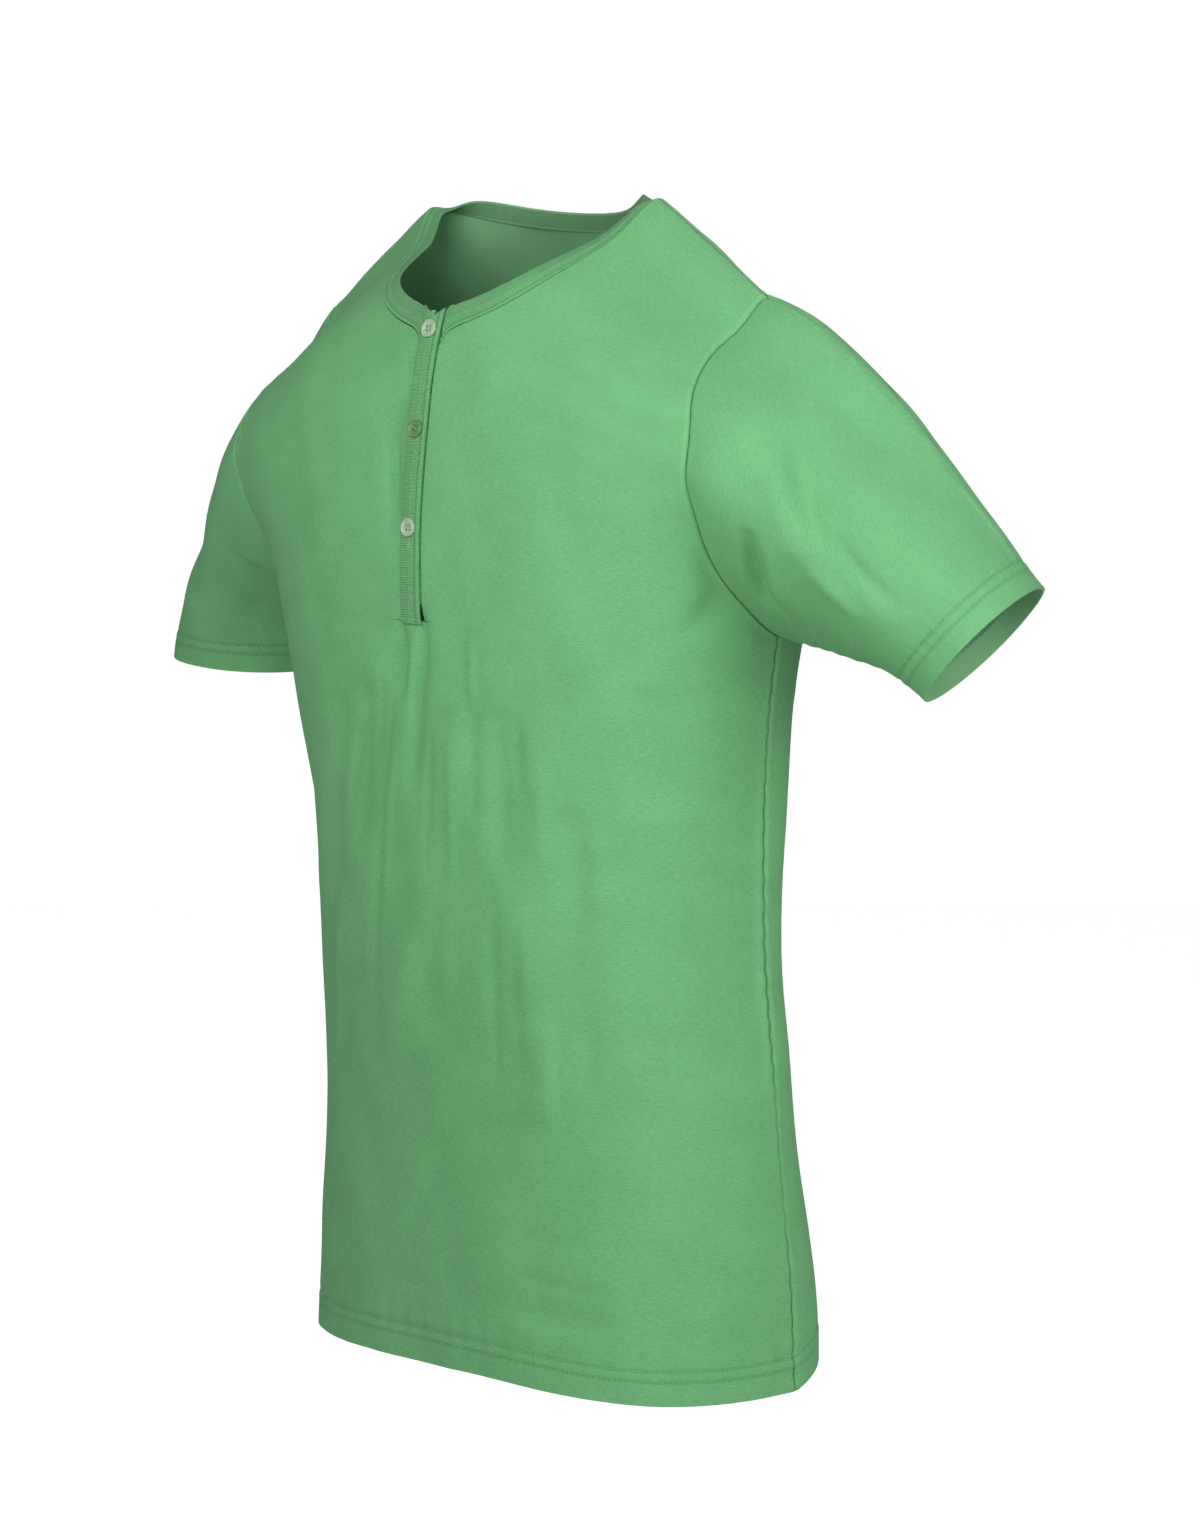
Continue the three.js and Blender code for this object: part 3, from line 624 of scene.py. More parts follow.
def shell(sheet, name, material, material_slot, *nodes):
    """Closes a sheet into a thin wall with a UV map in metres and marks for its two sides."""
    places, normals, out, back, seam, quads, uvs = sheet.arrays()
    count = len(places)
    points = np.concatenate([places + normals * out[:, None], places - normals * back[:, None]])
    edges = np.stack([quads, np.roll(quads, -1, axis=1)], axis=-1).reshape(-1, 2)
    edge_uvs = np.stack([uvs, np.roll(uvs, -1, axis=1)], axis=-2).reshape(-1, 2, 2)
    key = edges[:, 0] * count + edges[:, 1]
    free = ~np.isin(edges[:, 1] * count + edges[:, 0], key)
    a, b = edges[free].T
    rim = np.stack([b, a, a + count, b + count], axis=-1)
    rim_uvs = edge_uvs[free][:, [1, 0, 0, 1]]
    faces = np.concatenate([quads, quads[:, ::-1] + count, rim])
    face_uvs = np.concatenate([uvs, uvs[:, ::-1], rim_uvs])
    mesh = bpy.data.meshes.new(name)
    mesh.from_pydata((points * METRE).tolist(), [], faces.tolist())
    layer = mesh.uv_layers.new(name="cloth")
    layer.data.foreach_set("uv", (face_uvs * METRE).astype(np.float32).ravel())
    # inside marks the reverse side; seam carries the painted highlight and painted shade to the
    # material
    for title, values in (
        ("inside", np.repeat([0.0, 1.0], count)),
        ("seam", np.concatenate([seam, seam])),
    ):
        mark = mesh.attributes.new(title, "FLOAT", "POINT")
        mark.data.foreach_set("value", values.astype(np.float32))
    mesh.shade_smooth()
    mesh.materials.append(material)
    mesh.validate()
    mesh.update()
    piece = link(mesh, name, material_slot, *nodes)
    bpy.ops.object.select_all(action="DESELECT")
    piece.select_set(True)
    bpy.context.view_layer.objects.active = piece
    bpy.ops.object.shade_smooth_by_angle(angle=math.radians(55))
    return piece


def panel_sheet(face, cloth):
    """A body panel: two halves that share their centre where the cloth isn't slit."""
    rows = panel_rows(face)
    turns = even_turns(face, rows)
    level = rows["level"][:, None]
    sheet = Sheet()
    first = None
    for hand in (1, -1):
        smooth = smooth_point(face, turns, level, hand)
        normals = smooth_normal(face, turns, level, hand)
        across = lengths_along(smooth, 1)
        to_side = across[:, -1:] - across
        up = lengths_along(smooth, 0)
        to_top = up[-1:] - up
        rise = cloth_rise(face, smooth[..., 0] * hand, smooth[..., 2], cloth.crease_strength)
        fade = np.clip(to_side / 6, 0, 1) * np.clip(to_top / 6, 0, 1)
        rise = rise * mix(0.35, 1, fade)
        rise += seam_dip(to_side) + seam_dip(to_top, 0.8)
        below_arm = rows["share"][:, None] <= 0
        ripples = pucker(to_side, up, 15, 0.25, 9) * below_arm
        ripples = ripples + pucker(to_side, up, 11, 0.1, 6) * ~below_arm
        rise += ripples * cloth.crease_strength
        rise += pucker(np.abs(up - HEM_DEPTH + 3), across, 17, 0.2, 9) * cloth.crease_strength
        rise += turned_edge(up, HEM_DEPTH, 1.5, 0.35, 0.4)
        grooves = stitch_grooves(up, HEM_LINES)
        rise -= GROOVE_DEPTH * grooves
        places = smooth + normals * rise[..., None]
        top = np.zeros_like(places)
        top[-1, :, 1] = face * SEAM_GAP / 2
        places = places + top
        ids = np.full(turns.shape, -1)
        if hand < 0:
            shared = ~(rows["cut"] | rows["slit"])
            ids[shared, 0] = first[shared, 0]
        uv = np.stack([across * hand, np.repeat(up[:, :1], up.shape[1], axis=1)], axis=-1)
        # Painted light along the side and shoulder seams and the hem's stitch grooves: painted
        # highlight beside each seam, painted shade in it and in the grooves
        ridge = np.where(below_arm, 0.1, 0.5) * np.ones_like(up)
        seam = painted_seam_light(to_side, ridge) * np.where(below_arm, 0.5, 1)
        seam = seam + painted_seam_light(to_top, 0.5) - GROOVE_PAINTED_SHADE * grooves
        back = inner_side(up <= HEM_DEPTH - 1, cloth)
        first = sheet.add_grid(
            mirrored(places, hand), mirrored(normals, hand), np.full(turns.shape, OUTER_SIDE),
            back, np.clip(seam, -1, 1), uv, (face < 0) != (hand > 0), ids,
        )
        sheet.grids[-1].update(up=up, across=across, hand=hand)
    return sheet


def seam_leave(places, normals, closed):
    """The direction in the cloth that leaves a seam towards the piece that is sewn on."""
    if closed:
        along = np.roll(places, -1, axis=0) - np.roll(places, 1, axis=0)
    else:
        along = np.gradient(places, axis=0)
    return unit(np.cross(normals, along))


def plain_cloth(face, turn, level, hand):
    """Points of the cloth with the main folds alone, mirrored to their own side."""
    normals = smooth_normal(face, turn, level, hand)
    places = smooth_point(face, turn, level, hand)
    folds = FRONT_FOLDS if face < 0 else BACK_FOLDS
    rise = fold_rise(folds, places[..., 0] * hand, places[..., 2])
    places = places + normals * rise[..., None]
    return mirrored(places, hand), mirrored(normals, hand)


def armhole_ring(hand):
    """The armhole from the shoulder down the front to the underarm, and up the back."""
    front = panel_rows(-1)["share"]
    front = front[front >= 0][::-1]
    back = panel_rows(1)["share"]
    back = back[(back > 0) & (back < 1)]
    parts = []
    for face, shares in ((-1, front), (1, back)):
        places, normals = plain_cloth(face, armhole_turn(face, shares), armhole_level(shares), hand)
        parts.append((mirrored(places, hand), mirrored(normals, hand)))
    places, normals = (np.concatenate(pair) for pair in zip(*parts))
    return places, normals, len(front) - 1


def sleeve_sheet(hand, cloth):
    """Each point of the armhole runs on a smooth curve to its place on the cuff."""
    cuff = CUFF_LEFT if hand > 0 else CUFF_RIGHT
    ring, ring_normals, bottom = armhole_ring(hand)
    faces = unit(np.array(cuff["faces"]))
    tall = np.array(cuff["top"], float)
    tall = unit(tall - faces * faces.dot(tall))
    wide = np.cross(faces, tall)
    closed = np.concatenate([ring, ring[:1]])
    gone = np.concatenate([[0], np.cumsum(np.linalg.norm(np.diff(closed, axis=0), axis=1))])
    share = gone[:-1] / gone[-1]
    under = share[bottom]
    turn = math.pi * np.where(share < under, share / under, 1 + (share - under) / (1 - under))
    ends = (
        np.array(cuff["middle"], float)
        + tall * (cuff["tall"] * np.cos(turn))[:, None]
        + wide * (cuff["wide"] * np.sin(turn))[:, None]
    )
    high = ((1 + np.cos(turn)) / 2)[:, None]
    leaving = unit(mix(np.array(LEAVES_BOTTOM), np.array(LEAVES_TOP), high))
    leaving = (leaving + ring_normals * cuff["swell"]) * mix(PULL_BOTTOM, cuff["swing"], high)
    arriving = faces * PULL_CUFF
    starts = ring + seam_leave(ring, ring_normals, True) * SEAM_GAP
    hem_start = 1 - CUFF_DEPTH / PULL_CUFF
    rungs = np.concatenate([
        np.array([0, 0.002, 0.006, 0.011, 0.018, 0.027]),
        np.linspace(0.038, hem_start, SLEEVE_RINGS),
        np.linspace(hem_start, 1, CUFF_ROWS)[1:],
    ])
    s = rungs[:, None, None]
    places = (
        starts * (2 * s**3 - 3 * s**2 + 1) + leaving * (s**3 - 2 * s**2 + s)
        + ends * (3 * s**2 - 2 * s**3) + arriving * (s**3 - s**2)
    )
    across = np.roll(places, -1, axis=1) - np.roll(places, 1, axis=1)
    onward = np.gradient(places, rungs, axis=0)
    blend = np.clip(s / SLEEVE_EASE, 0, 1)
    normals = unit(mix(ring_normals, unit(np.cross(across, onward)), blend))
    shown = np.clip(2 * np.abs(normals[..., 1]), 0, 1) * blend[..., 0]
    x, z = places[..., 0] * hand, places[..., 2]
    strength = cloth.crease_strength
    front = cloth_rise(-1, x, z, strength)
    rise = np.where(normals[..., 1] < 0, front, cloth_rise(1, x, z, strength)) * shown
    along = lengths_along(places, 0)
    to_cuff = along[-1:] - along
    round_cuff = gone[:-1] * np.ones_like(along)
    to_seam = np.abs(round_cuff - gone[bottom])
    to_seam = np.minimum(to_seam, gone[-1] - to_seam)
    rise += seam_dip(along, 0.6) + 0.7 * seam_dip(to_seam, 0.8)
    rise += pucker(along, round_cuff, 12, 0.12, 7) * strength
    rise += pucker(np.abs(to_cuff - CUFF_DEPTH + 3), round_cuff, 15, 0.12, 8) * strength
    rise += pucker(to_seam, along, 13, 0.15, 8) * strength
    rise += turned_edge(to_cuff, CUFF_DEPTH, 2, 0.3, 0.35)
    grooves = stitch_grooves(to_cuff, CUFF_LINES)
    rise -= GROOVE_DEPTH * grooves
    places = places + normals * rise[..., None]
    uv_u = np.concatenate([round_cuff, np.full((len(rungs), 1), gone[-1])], axis=1)
    uv_v = np.concatenate([along, along[:, :1]], axis=1)
    back = inner_side(to_cuff <= CUFF_DEPTH, cloth)
    # The seam values are painted light: painted shade and painted highlight along the armhole and
    # underarm seams, painted shade in the cuff's stitch grooves
    sheet = Sheet()
    sheet.add_grid(
        mirrored(places, hand), mirrored(normals, hand), np.full(along.shape, OUTER_SIDE), back,
        np.clip(painted_seam_light(along, 0.25) + painted_seam_light(to_seam, 0.2) - GROOVE_PAINTED_SHADE * grooves, -1, 1),
        np.stack([uv_u, uv_v], axis=-1), hand < 0, wrap=True,
    )
    sheet.grids[-1].update(to_cuff=to_cuff)
    return sheet


def neck_seam():
    """The neckline's left half: from the placket over the shoulder to the back's centre."""
    front, back = panel_rows(-1), panel_rows(1)
    corner = level_at_height(NECKLINE["z"][0])
    places, normals = plain_cloth(-1, front["inner"][front["cut"]], front["level"][front["cut"]], 1)
    end, end_normal = plain_cloth(-1, turn_at_x(-1, PLACKET_HALF, corner), corner, 1)
    end = mix(end, places[0], BAND_END_GAP / (places[0, 0] - PLACKET_HALF))
    inner, levels = (back[name][back["cut"]][:-1][::-1] for name in ("inner", "level"))
    centre = np.array([float(level_at_height(-NECK_DROP_BACK))])
    parts = [
        (end[None], end_normal[None]),
        (places, normals),
        plain_cloth(1, inner, levels, 1),
        plain_cloth(1, np.array([0.0]), centre, 1),
    ]
    return tuple(np.concatenate(pair) for pair in zip(*parts))


def resampled(places, normals, spacing, *others):
    """The same line with even steps, and other values that go with it."""
    gone = np.concatenate([[0], np.cumsum(np.linalg.norm(np.diff(places, axis=0), axis=1))])
    at = np.linspace(0, gone[-1], max(2, int(round(gone[-1] / spacing)) + 1))

    def line(values):
        values = np.asarray(values, float)
        if values.ndim == 1:
            return np.interp(at, gone, values)
        return np.stack([np.interp(at, gone, part) for part in values.T], axis=-1)

    return (line(places), unit(line(normals)), *(line(values) for values in others))


def band_stations():
    """Points round the neck with the cloth's normal and the band's direction and width."""
    places, normals = neck_seam()
    places, normals = resampled(places, normals, 3.0)
    last = len(places) - 1
    in_front = places[:, 1] < 2
    end = np.clip((places[:, 0] - PLACKET_HALF) / 26, 0, 1) * in_front + 1.0 * ~in_front
    across = seam_leave(places, normals, False)
    across[last] = [0, -normals[last, 2], normals[last, 1]]
    near_shoulder = (np.abs(places[:, 0]) / NECK_HALF) ** 7
    across[:, 2] += np.where(in_front, 0, BAND_LEAN_BACK) - BAND_LEAN_SHOULDER * near_shoulder
    upright = np.stack([np.zeros(last + 1), normals[:, 2], -normals[:, 1]], axis=-1)
    across = np.where(in_front[:, None], mix(upright, across, end[:, None]), across)
    across = unit(across)
    for _ in range(24):
        smoother = across.copy()
        smoother[1:-1] += across[:-2] + across[2:]
        across = unit(smoother)
    width = np.where(in_front, mix(BAND_END, BAND_WIDTH, np.clip(3 * end, 0, 1)), BAND_WIDTH)
    both = [
        np.concatenate([values, mirrored(values[:-1][::-1], -1)])
        for values in (places, normals, across)
    ]
    return (*both, np.concatenate([width, width[:-1][::-1]]))


def rounded(distance, radius):
    """How far a folded edge has risen to its full height, on a quarter circle."""
    return np.sqrt(np.clip(1 - (1 - np.clip(distance / radius, 0, 1)) ** 2, 0, 1))


def band_profile(off, width):
    """Height of the band's outer side: a piped ridge at the seam, a flat strip that the cover
    stitch holds down, and ribbed cloth up to the folded edge."""
    ridge = 0.55 * bell(off - 1.6, 1.1)
    groove = -0.45 * bell(off - 3.6, 0.8)
    stitched = -0.15 * bell(off - 6.2, 2.2)
    swell = 0.2 * bell(off - width * 0.72, 3.0)
    return 0.85 + ridge + groove + stitched + swell


def band_sheet():
    places, normals, across, width = band_stations()
    along = np.gradient(places, axis=0)
    own = unit(np.cross(along, across))
    own = np.where((own * normals).sum(axis=1, keepdims=True) < 0, -own, own)
    share = np.linspace(0, 1, BAND_COLUMNS)
    off = mix(BAND_SEAM_GAP, width[:, None], share[None])
    near_seam = np.clip(1 - (off - BAND_SEAM_GAP) / 4, 0, 1)[..., None]
    face = unit(mix(own[:, None], normals[:, None], near_seam))
    grid = places[:, None] + across[:, None] * off[..., None]
    to_fold = width[:, None] - off
    to_start = off - BAND_SEAM_GAP
    rounding = rounded(to_fold, 1.1)
    seam_round = rounded(to_start, 0.9)
    out = band_profile(off, width[:, None]) * mix(0.05, 1, rounding) * mix(0.3, 1, seam_round)
    back = 0.95 * mix(0.05, 1, rounding)
    gone = np.concatenate([[0], np.cumsum(np.linalg.norm(np.diff(places, axis=0), axis=1))])
    uv = np.stack([gone[:, None] * np.ones_like(off), off], axis=-1)
    # Painted light on the band: a painted highlight on the piped ridge, painted shade at the seam,
    # in the groove beside the ridge and over the recessed stitched lanes
    lanes = bell(off - 6.2, 2.6)
    seam = 0.5 * bell(off - 1.7, 0.9) - 0.8 * bell(off - 0.4, 0.5) - 0.25 * lanes
    seam -= 0.5 * bell(off - 3.5, 0.6)
    sheet = Sheet()
    sheet.add_grid(grid, face, out, back, seam, uv, True)
    return sheet


def front_point(x, z):
    """Points of the front with its main folds at places seen from the front."""
    x, z = np.broadcast_arrays(np.asarray(x, float), np.asarray(z, float))
    size = np.abs(x)

    def height(level):
        return smooth_point(-1, turn_at_x(-1, size, level), level, 1)[..., 2] - z

    low, high = np.full(x.shape, UNDERARM_LEVEL - 1.0), np.full(x.shape, float(CROWN_LEVEL))
    level = solve(height, low, high)
    turn = turn_at_x(-1, size, level)
    places, normals = smooth_point(-1, turn, level, 1), smooth_normal(-1, turn, level, 1)
    rise = fold_rise(FRONT_FOLDS, x, z)
    side = np.stack([np.where(x < 0, -1.0, 1.0), np.ones(x.shape), np.ones(x.shape)], axis=-1)
    return (places + normals * rise[..., None]) * side, normals * side


def upper_profile(x, z):
    """The upper strip across: a thin folded edge, ribbed cloth, the cover stitch's flat strip
    and the piped ridge at its sewn edge."""
    ridge = 0.5 * bell(x - 6.8, 0.9)
    groove = -0.35 * bell(x - 4.2, 0.8)
    swell = 0.18 * bell(x + 4.6, 2.6)
    end = -0.3 * bell(z - UPPER_PLACKET["bottom"] - 3, 1.2)
    return ridge + groove + swell + end


def placket_sheet(strip, profile):
    half, bottom, lift = strip["half"], strip["bottom"], strip["lift"]
    x = np.linspace(-half, half, PLACKET_COLUMNS)[None]
    top = PLACKET_TOP + np.abs(x) * PLACKET_TOP_SLOPE
    z = mix(bottom, top, np.linspace(0, 1, PLACKET_ROWS)[:, None])
    places, normals = front_point(x * np.ones_like(z), z)
    places = places + normals * lift
    edge = half - np.abs(x) * np.ones_like(z)
    end = np.minimum(z - bottom, top - z)
    near = np.minimum(edge, end)
    rounding = rounded(near, 0.7)
    out = (PLACKET_WALL / 2 + profile(x, z)) * mix(0.1, 1, rounding)
    back = PLACKET_WALL / 2 * mix(0.1, 1, rounding)
    uv = np.stack([z * np.ones_like(out), x * np.ones_like(out) + half], axis=-1)
    # Painted light on the strip: a painted highlight on the piped ridge, painted shade in the
    # groove beside it, over the stitched zone and as a painted shadow at both edges
    seam = 0.4 * bell(x - 6.7, 0.9) - 0.5 * bell(x - 4.4, 0.6)
    seam = seam - 0.25 * bell(x - 1.2, 2.6) - 0.9 * bell(half - np.abs(x), 0.5)
    seam = seam * np.ones_like(out)
    sheet = Sheet()
    sheet.add_grid(places, normals, out, back, seam, uv, False)
    return sheet


def threads(name, starts, ends, normals, radius, arch, material, rings=4, sides=5):
    """Short stitches: each is a small tube that arches out of the cloth and dips back in."""
    share = np.linspace(0, 1, rings)
    along = unit(ends - starts)
    side = unit(np.cross(along, normals))
    up = np.cross(side, along)
    middle = mix(starts[:, None], ends[:, None], share[None, :, None])
    middle = middle + up[:, None] * (arch * (4 * share * (1 - share)) - arch * 0.35)[None, :, None]
    thick = radius * np.where((share > 0) & (share < 1), 1.0, 0.45)
    turn = np.arange(sides) * 2 * math.pi / sides
    circle = (
        side[:, None, None] * np.cos(turn)[None, None, :, None]
        + up[:, None, None] * np.sin(turn)[None, None, :, None]
    )
    points = (middle[:, :, None] + circle * thick[None, :, None, None]).reshape(-1, 3)
    quads = []
    for ring in range(rings - 1):
        for k in range(sides):
            a, b = ring * sides + k, ring * sides + (k + 1) % sides
            quads.append((a, b, b + sides, a + sides))
    quads = np.array(quads)
    step = rings * sides
    first = np.arange(len(starts))[:, None, None] * step
    faces = (quads[None] + first).reshape(-1, 4).tolist()
    cap = np.arange(sides)
    first = first[:, :, 0]
    faces += (cap[::-1][None] + first).tolist() + (cap[None] + first + step - sides).tolist()
    mesh = bpy.data.meshes.new(name)
    mesh.from_pydata((points * METRE).tolist(), [], faces)
    mesh.shade_smooth()
    mesh.materials.append(material)
    mesh.validate()
    return mesh


def stitch_line(places, normals, length, gap):
    """Starts, ends and normals of even stitches along a line."""
    places, normals = resampled(places, normals, (length + gap) / 4)
    count = (len(places) - 1) // 4
    starts = places[: count * 4 : 4]
    along = length / (length + gap)
    ends = mix(starts, places[4 : count * 4 + 1 : 4], along)
    return starts, ends, normals[: count * 4 : 4]


def zigzag(low, high, spacing):
    """Stitches that go to and fro between two lines."""
    a, ups = resampled(*low, spacing)
    share = np.linspace(0, 1, len(a))
    far = np.linspace(0, 1, len(high[0]))
    b = np.stack([np.interp(share, far, high[0][:, k]) for k in range(3)], axis=-1)
    turns = np.where(np.arange(len(a))[:, None] % 2 == 0, a, b)
    return turns[:-1], turns[1:], ups[:-1]


def line_at(grid, distances, wanted, inside=False):
    """One side of a grid along the line where a distance has one value."""
    off = -grid["back"] if inside else grid["out"]
    side = grid["places"] + grid["normals"] * off[..., None]
    lines = []
    for values in (side, grid["normals"] * (-1 if inside else 1)):
        line = []
        for k in range(values.shape[1]):
            order = np.argsort(distances[:, k])
            known = distances[order, k]
            line.append([np.interp(wanted, known, values[order, k, n]) for n in range(3)])
        lines.append(np.array(line))
    return lines[0], unit(lines[1])


def hem_line(sheet, wanted, inside=False):
    """A line round a panel's hem at a distance from its edge, from side to side."""
    left, right = (line_at(grid, grid["up"], wanted, inside) for grid in sheet.grids)
    return [np.concatenate([b[::-1], a[1:]]) for a, b in zip(left, right)]


def cuff_line(sheet, wanted, inside=False):
    """A closed line round a cuff at a distance from its edge."""
    grid = sheet.grids[0]
    return [np.concatenate([a, a[:1]]) for a in line_at(grid, grid["to_cuff"], wanted, inside)]


def lane_along(grid, reach, wanted):
    """A line along a strip's outer side, at a place between the two ends of its reach."""
    outer = grid["places"] + grid["normals"] * grid["out"][..., None]
    at = (wanted - reach[0]) / (reach[1] - reach[0]) * (outer.shape[1] - 1)
    low = int(at)
    return mix(outer[:, low], outer[:, low + 1], at - low), grid["normals"][:, low]


# Materials

# Painted shade, multiplied into the cloth's colour where the seam marks are below 0 and in the
# valleys between ribs
GROOVE_SHADE = (0.42, 0.5, 0.42)  # what is left of the colour in a groove
VALLEY_SHADE = (0.55, 0.62, 0.55)  # and between two ribs


def node(tree, kind, location, **settings):
    made = tree.nodes.new(kind)
    made.location = location
    for key, value in settings.items():
        if key.startswith("in_"):
            made.inputs[key[3:].replace("_", " ")].default_value = value
        else:
            setattr(made, key, value)
    return made


def feed(tree, socket, value):
    """Links another node's output to a socket, or sets the socket to a plain value."""
    if hasattr(value, "is_output"):
        tree.links.new(value, socket)
    else:
        socket.default_value = value


def maths(tree, operation, location, *inputs):
    made = node(tree, "ShaderNodeMath", location, operation=operation)
    for socket, value in zip(made.inputs, inputs):
        feed(tree, socket, value)
    return made.outputs[0]


def mixed_colour(tree, location, a, b, factor, blend_type="MIX"):
    """Mixes two colours, each a node's output or a plain colour, by a node's output."""
    made = node(tree, "ShaderNodeMix", location, data_type="RGBA", blend_type=blend_type)
    for name, value in (("A", a), ("B", b)):
        feed(tree, made.inputs[name], value if hasattr(value, "is_output") else (*value, 1))
    tree.links.new(factor, made.inputs["Factor"])
    return made.outputs["Result"]


def spread(tree, location, value, **ends):
    """Maps one range of a node's output to another."""
    made = node(tree, "ShaderNodeMapRange", location, **ends)
    tree.links.new(value, made.inputs["Value"])
    return made.outputs[0]


def noise(tree, location, place, **settings):
    made = node(tree, "ShaderNodeTexNoise", location, **settings)
    tree.links.new(place, made.inputs["Vector"])
    return made.outputs["Fac"]


def bump(tree, location, height, strength, distance):
    made = node(tree, "ShaderNodeBump", location, in_Strength=strength, in_Distance=distance)
    tree.links.new(height, made.inputs["Height"])
    return made.outputs[0]


def empty_material(name):
    material = bpy.data.materials.new(name)
    material.use_nodes = True
    material.node_tree.nodes.clear()
    return material, material.node_tree


def finish_surface(tree, linked, **values):
    """The surface shader with its links and plain values, and the material's output."""
    surface = node(tree, "ShaderNodeBsdfPrincipled", (0, 0), **values)
    for name, value in linked.items():
        tree.links.new(value, surface.inputs[name])
    output = node(tree, "ShaderNodeOutputMaterial", (300, 0))
    tree.links.new(surface.outputs[0], output.inputs[0])


def new_group(name, inputs, outputs):
    group = bpy.data.node_groups.new(name, "ShaderNodeTree")
    for title, kind, default in inputs:
        socket = group.interface.new_socket(title, in_out="INPUT", socket_type=kind)
        if default is not None:
            socket.default_value = default
    for title, kind in outputs:
        group.interface.new_socket(title, in_out="OUTPUT", socket_type=kind)
    entry = group.nodes.new("NodeGroupInput")
    leave = group.nodes.new("NodeGroupOutput")
    entry.location, leave.location = (-1000, 0), (800, 0)
    return group, entry, leave


def grain_group():
    """Knitted grain: fine uneven courses and wales, and a slow cloudiness of the dye."""
    group, entry, leave = new_group(
        "knit_grain",
        [("Cloth", "NodeSocketVector", None), ("Course", "NodeSocketFloat", 1000.0),
         ("Slub", "NodeSocketFloat", 230.0)],
        [("Height", "NodeSocketFloat"), ("Shade", "NodeSocketFloat")],
    )
    links = group.links
    parts = node(group, "ShaderNodeSeparateXYZ", (-820, 0))
    links.new(entry.outputs["Cloth"], parts.inputs[0])

    def drawn_noise(along, up, detail, y):
        """Noise that is finer or coarser along each direction of the cloth."""
        joined = node(group, "ShaderNodeCombineXYZ", (-440, y))
        for k, often in enumerate((along, up)):
            often = maths(group, "MULTIPLY", (-640, y - 120 * k), parts.outputs[k], often)
            links.new(often, joined.inputs[k])
        return noise(
            group, (-260, y), joined.outputs[0], in_Scale=1.0, in_Detail=detail,
            in_Roughness=0.6)

    course, slub = entry.outputs["Course"], entry.outputs["Slub"]
    fine = drawn_noise(slub, course, 2.0, 160)
    wale = drawn_noise(course, slub, 1.0, -120)
    slow = drawn_noise(22.0, 30.0, 3.0, -400)
    height = maths(group, "ADD", (120, 140), fine, maths(group, "MULTIPLY", (-60, -60), wale, 0.6))
    links.new(height, leave.inputs["Height"])
    slower = maths(group, "MULTIPLY", (-60, -340), slow, 0.5)
    shade = maths(group, "ADD", (120, -160), fine, slower)
    weaker = maths(group, "MULTIPLY", (120, -320), wale, 0.4)
    shade = maths(group, "ADD", (300, -200), shade, weaker)
    links.new(shade, leave.inputs["Shade"])
    return group


def rib_group():
    """Ribs that run across a strip at an even spacing along it."""
    group, entry, leave = new_group(
        "rib_lines",
        [("Cloth", "NodeSocketVector", None), ("Spacing", "NodeSocketFloat", 0.0013)],
        [("Height", "NodeSocketFloat")],
    )
    parts = node(group, "ShaderNodeSeparateXYZ", (-820, 0))
    group.links.new(entry.outputs["Cloth"], parts.inputs[0])
    turns = maths(group, "DIVIDE", (-640, 0), parts.outputs[0], entry.outputs["Spacing"])
    angle = maths(group, "MULTIPLY", (-460, 0), turns, 2 * math.pi)
    wave = maths(group, "SINE", (-280, 0), angle)
    half = maths(group, "MULTIPLY_ADD", (-100, 0), wave, 0.5, 0.5)
    group.links.new(half, leave.inputs["Height"])
    return group


def groups():
    """The shared effects, built once."""
    made = {group.name: group for group in bpy.data.node_groups}
    grain = made.get("knit_grain") or grain_group()
    ribs = made.get("rib_lines") or rib_group()
    return grain, ribs


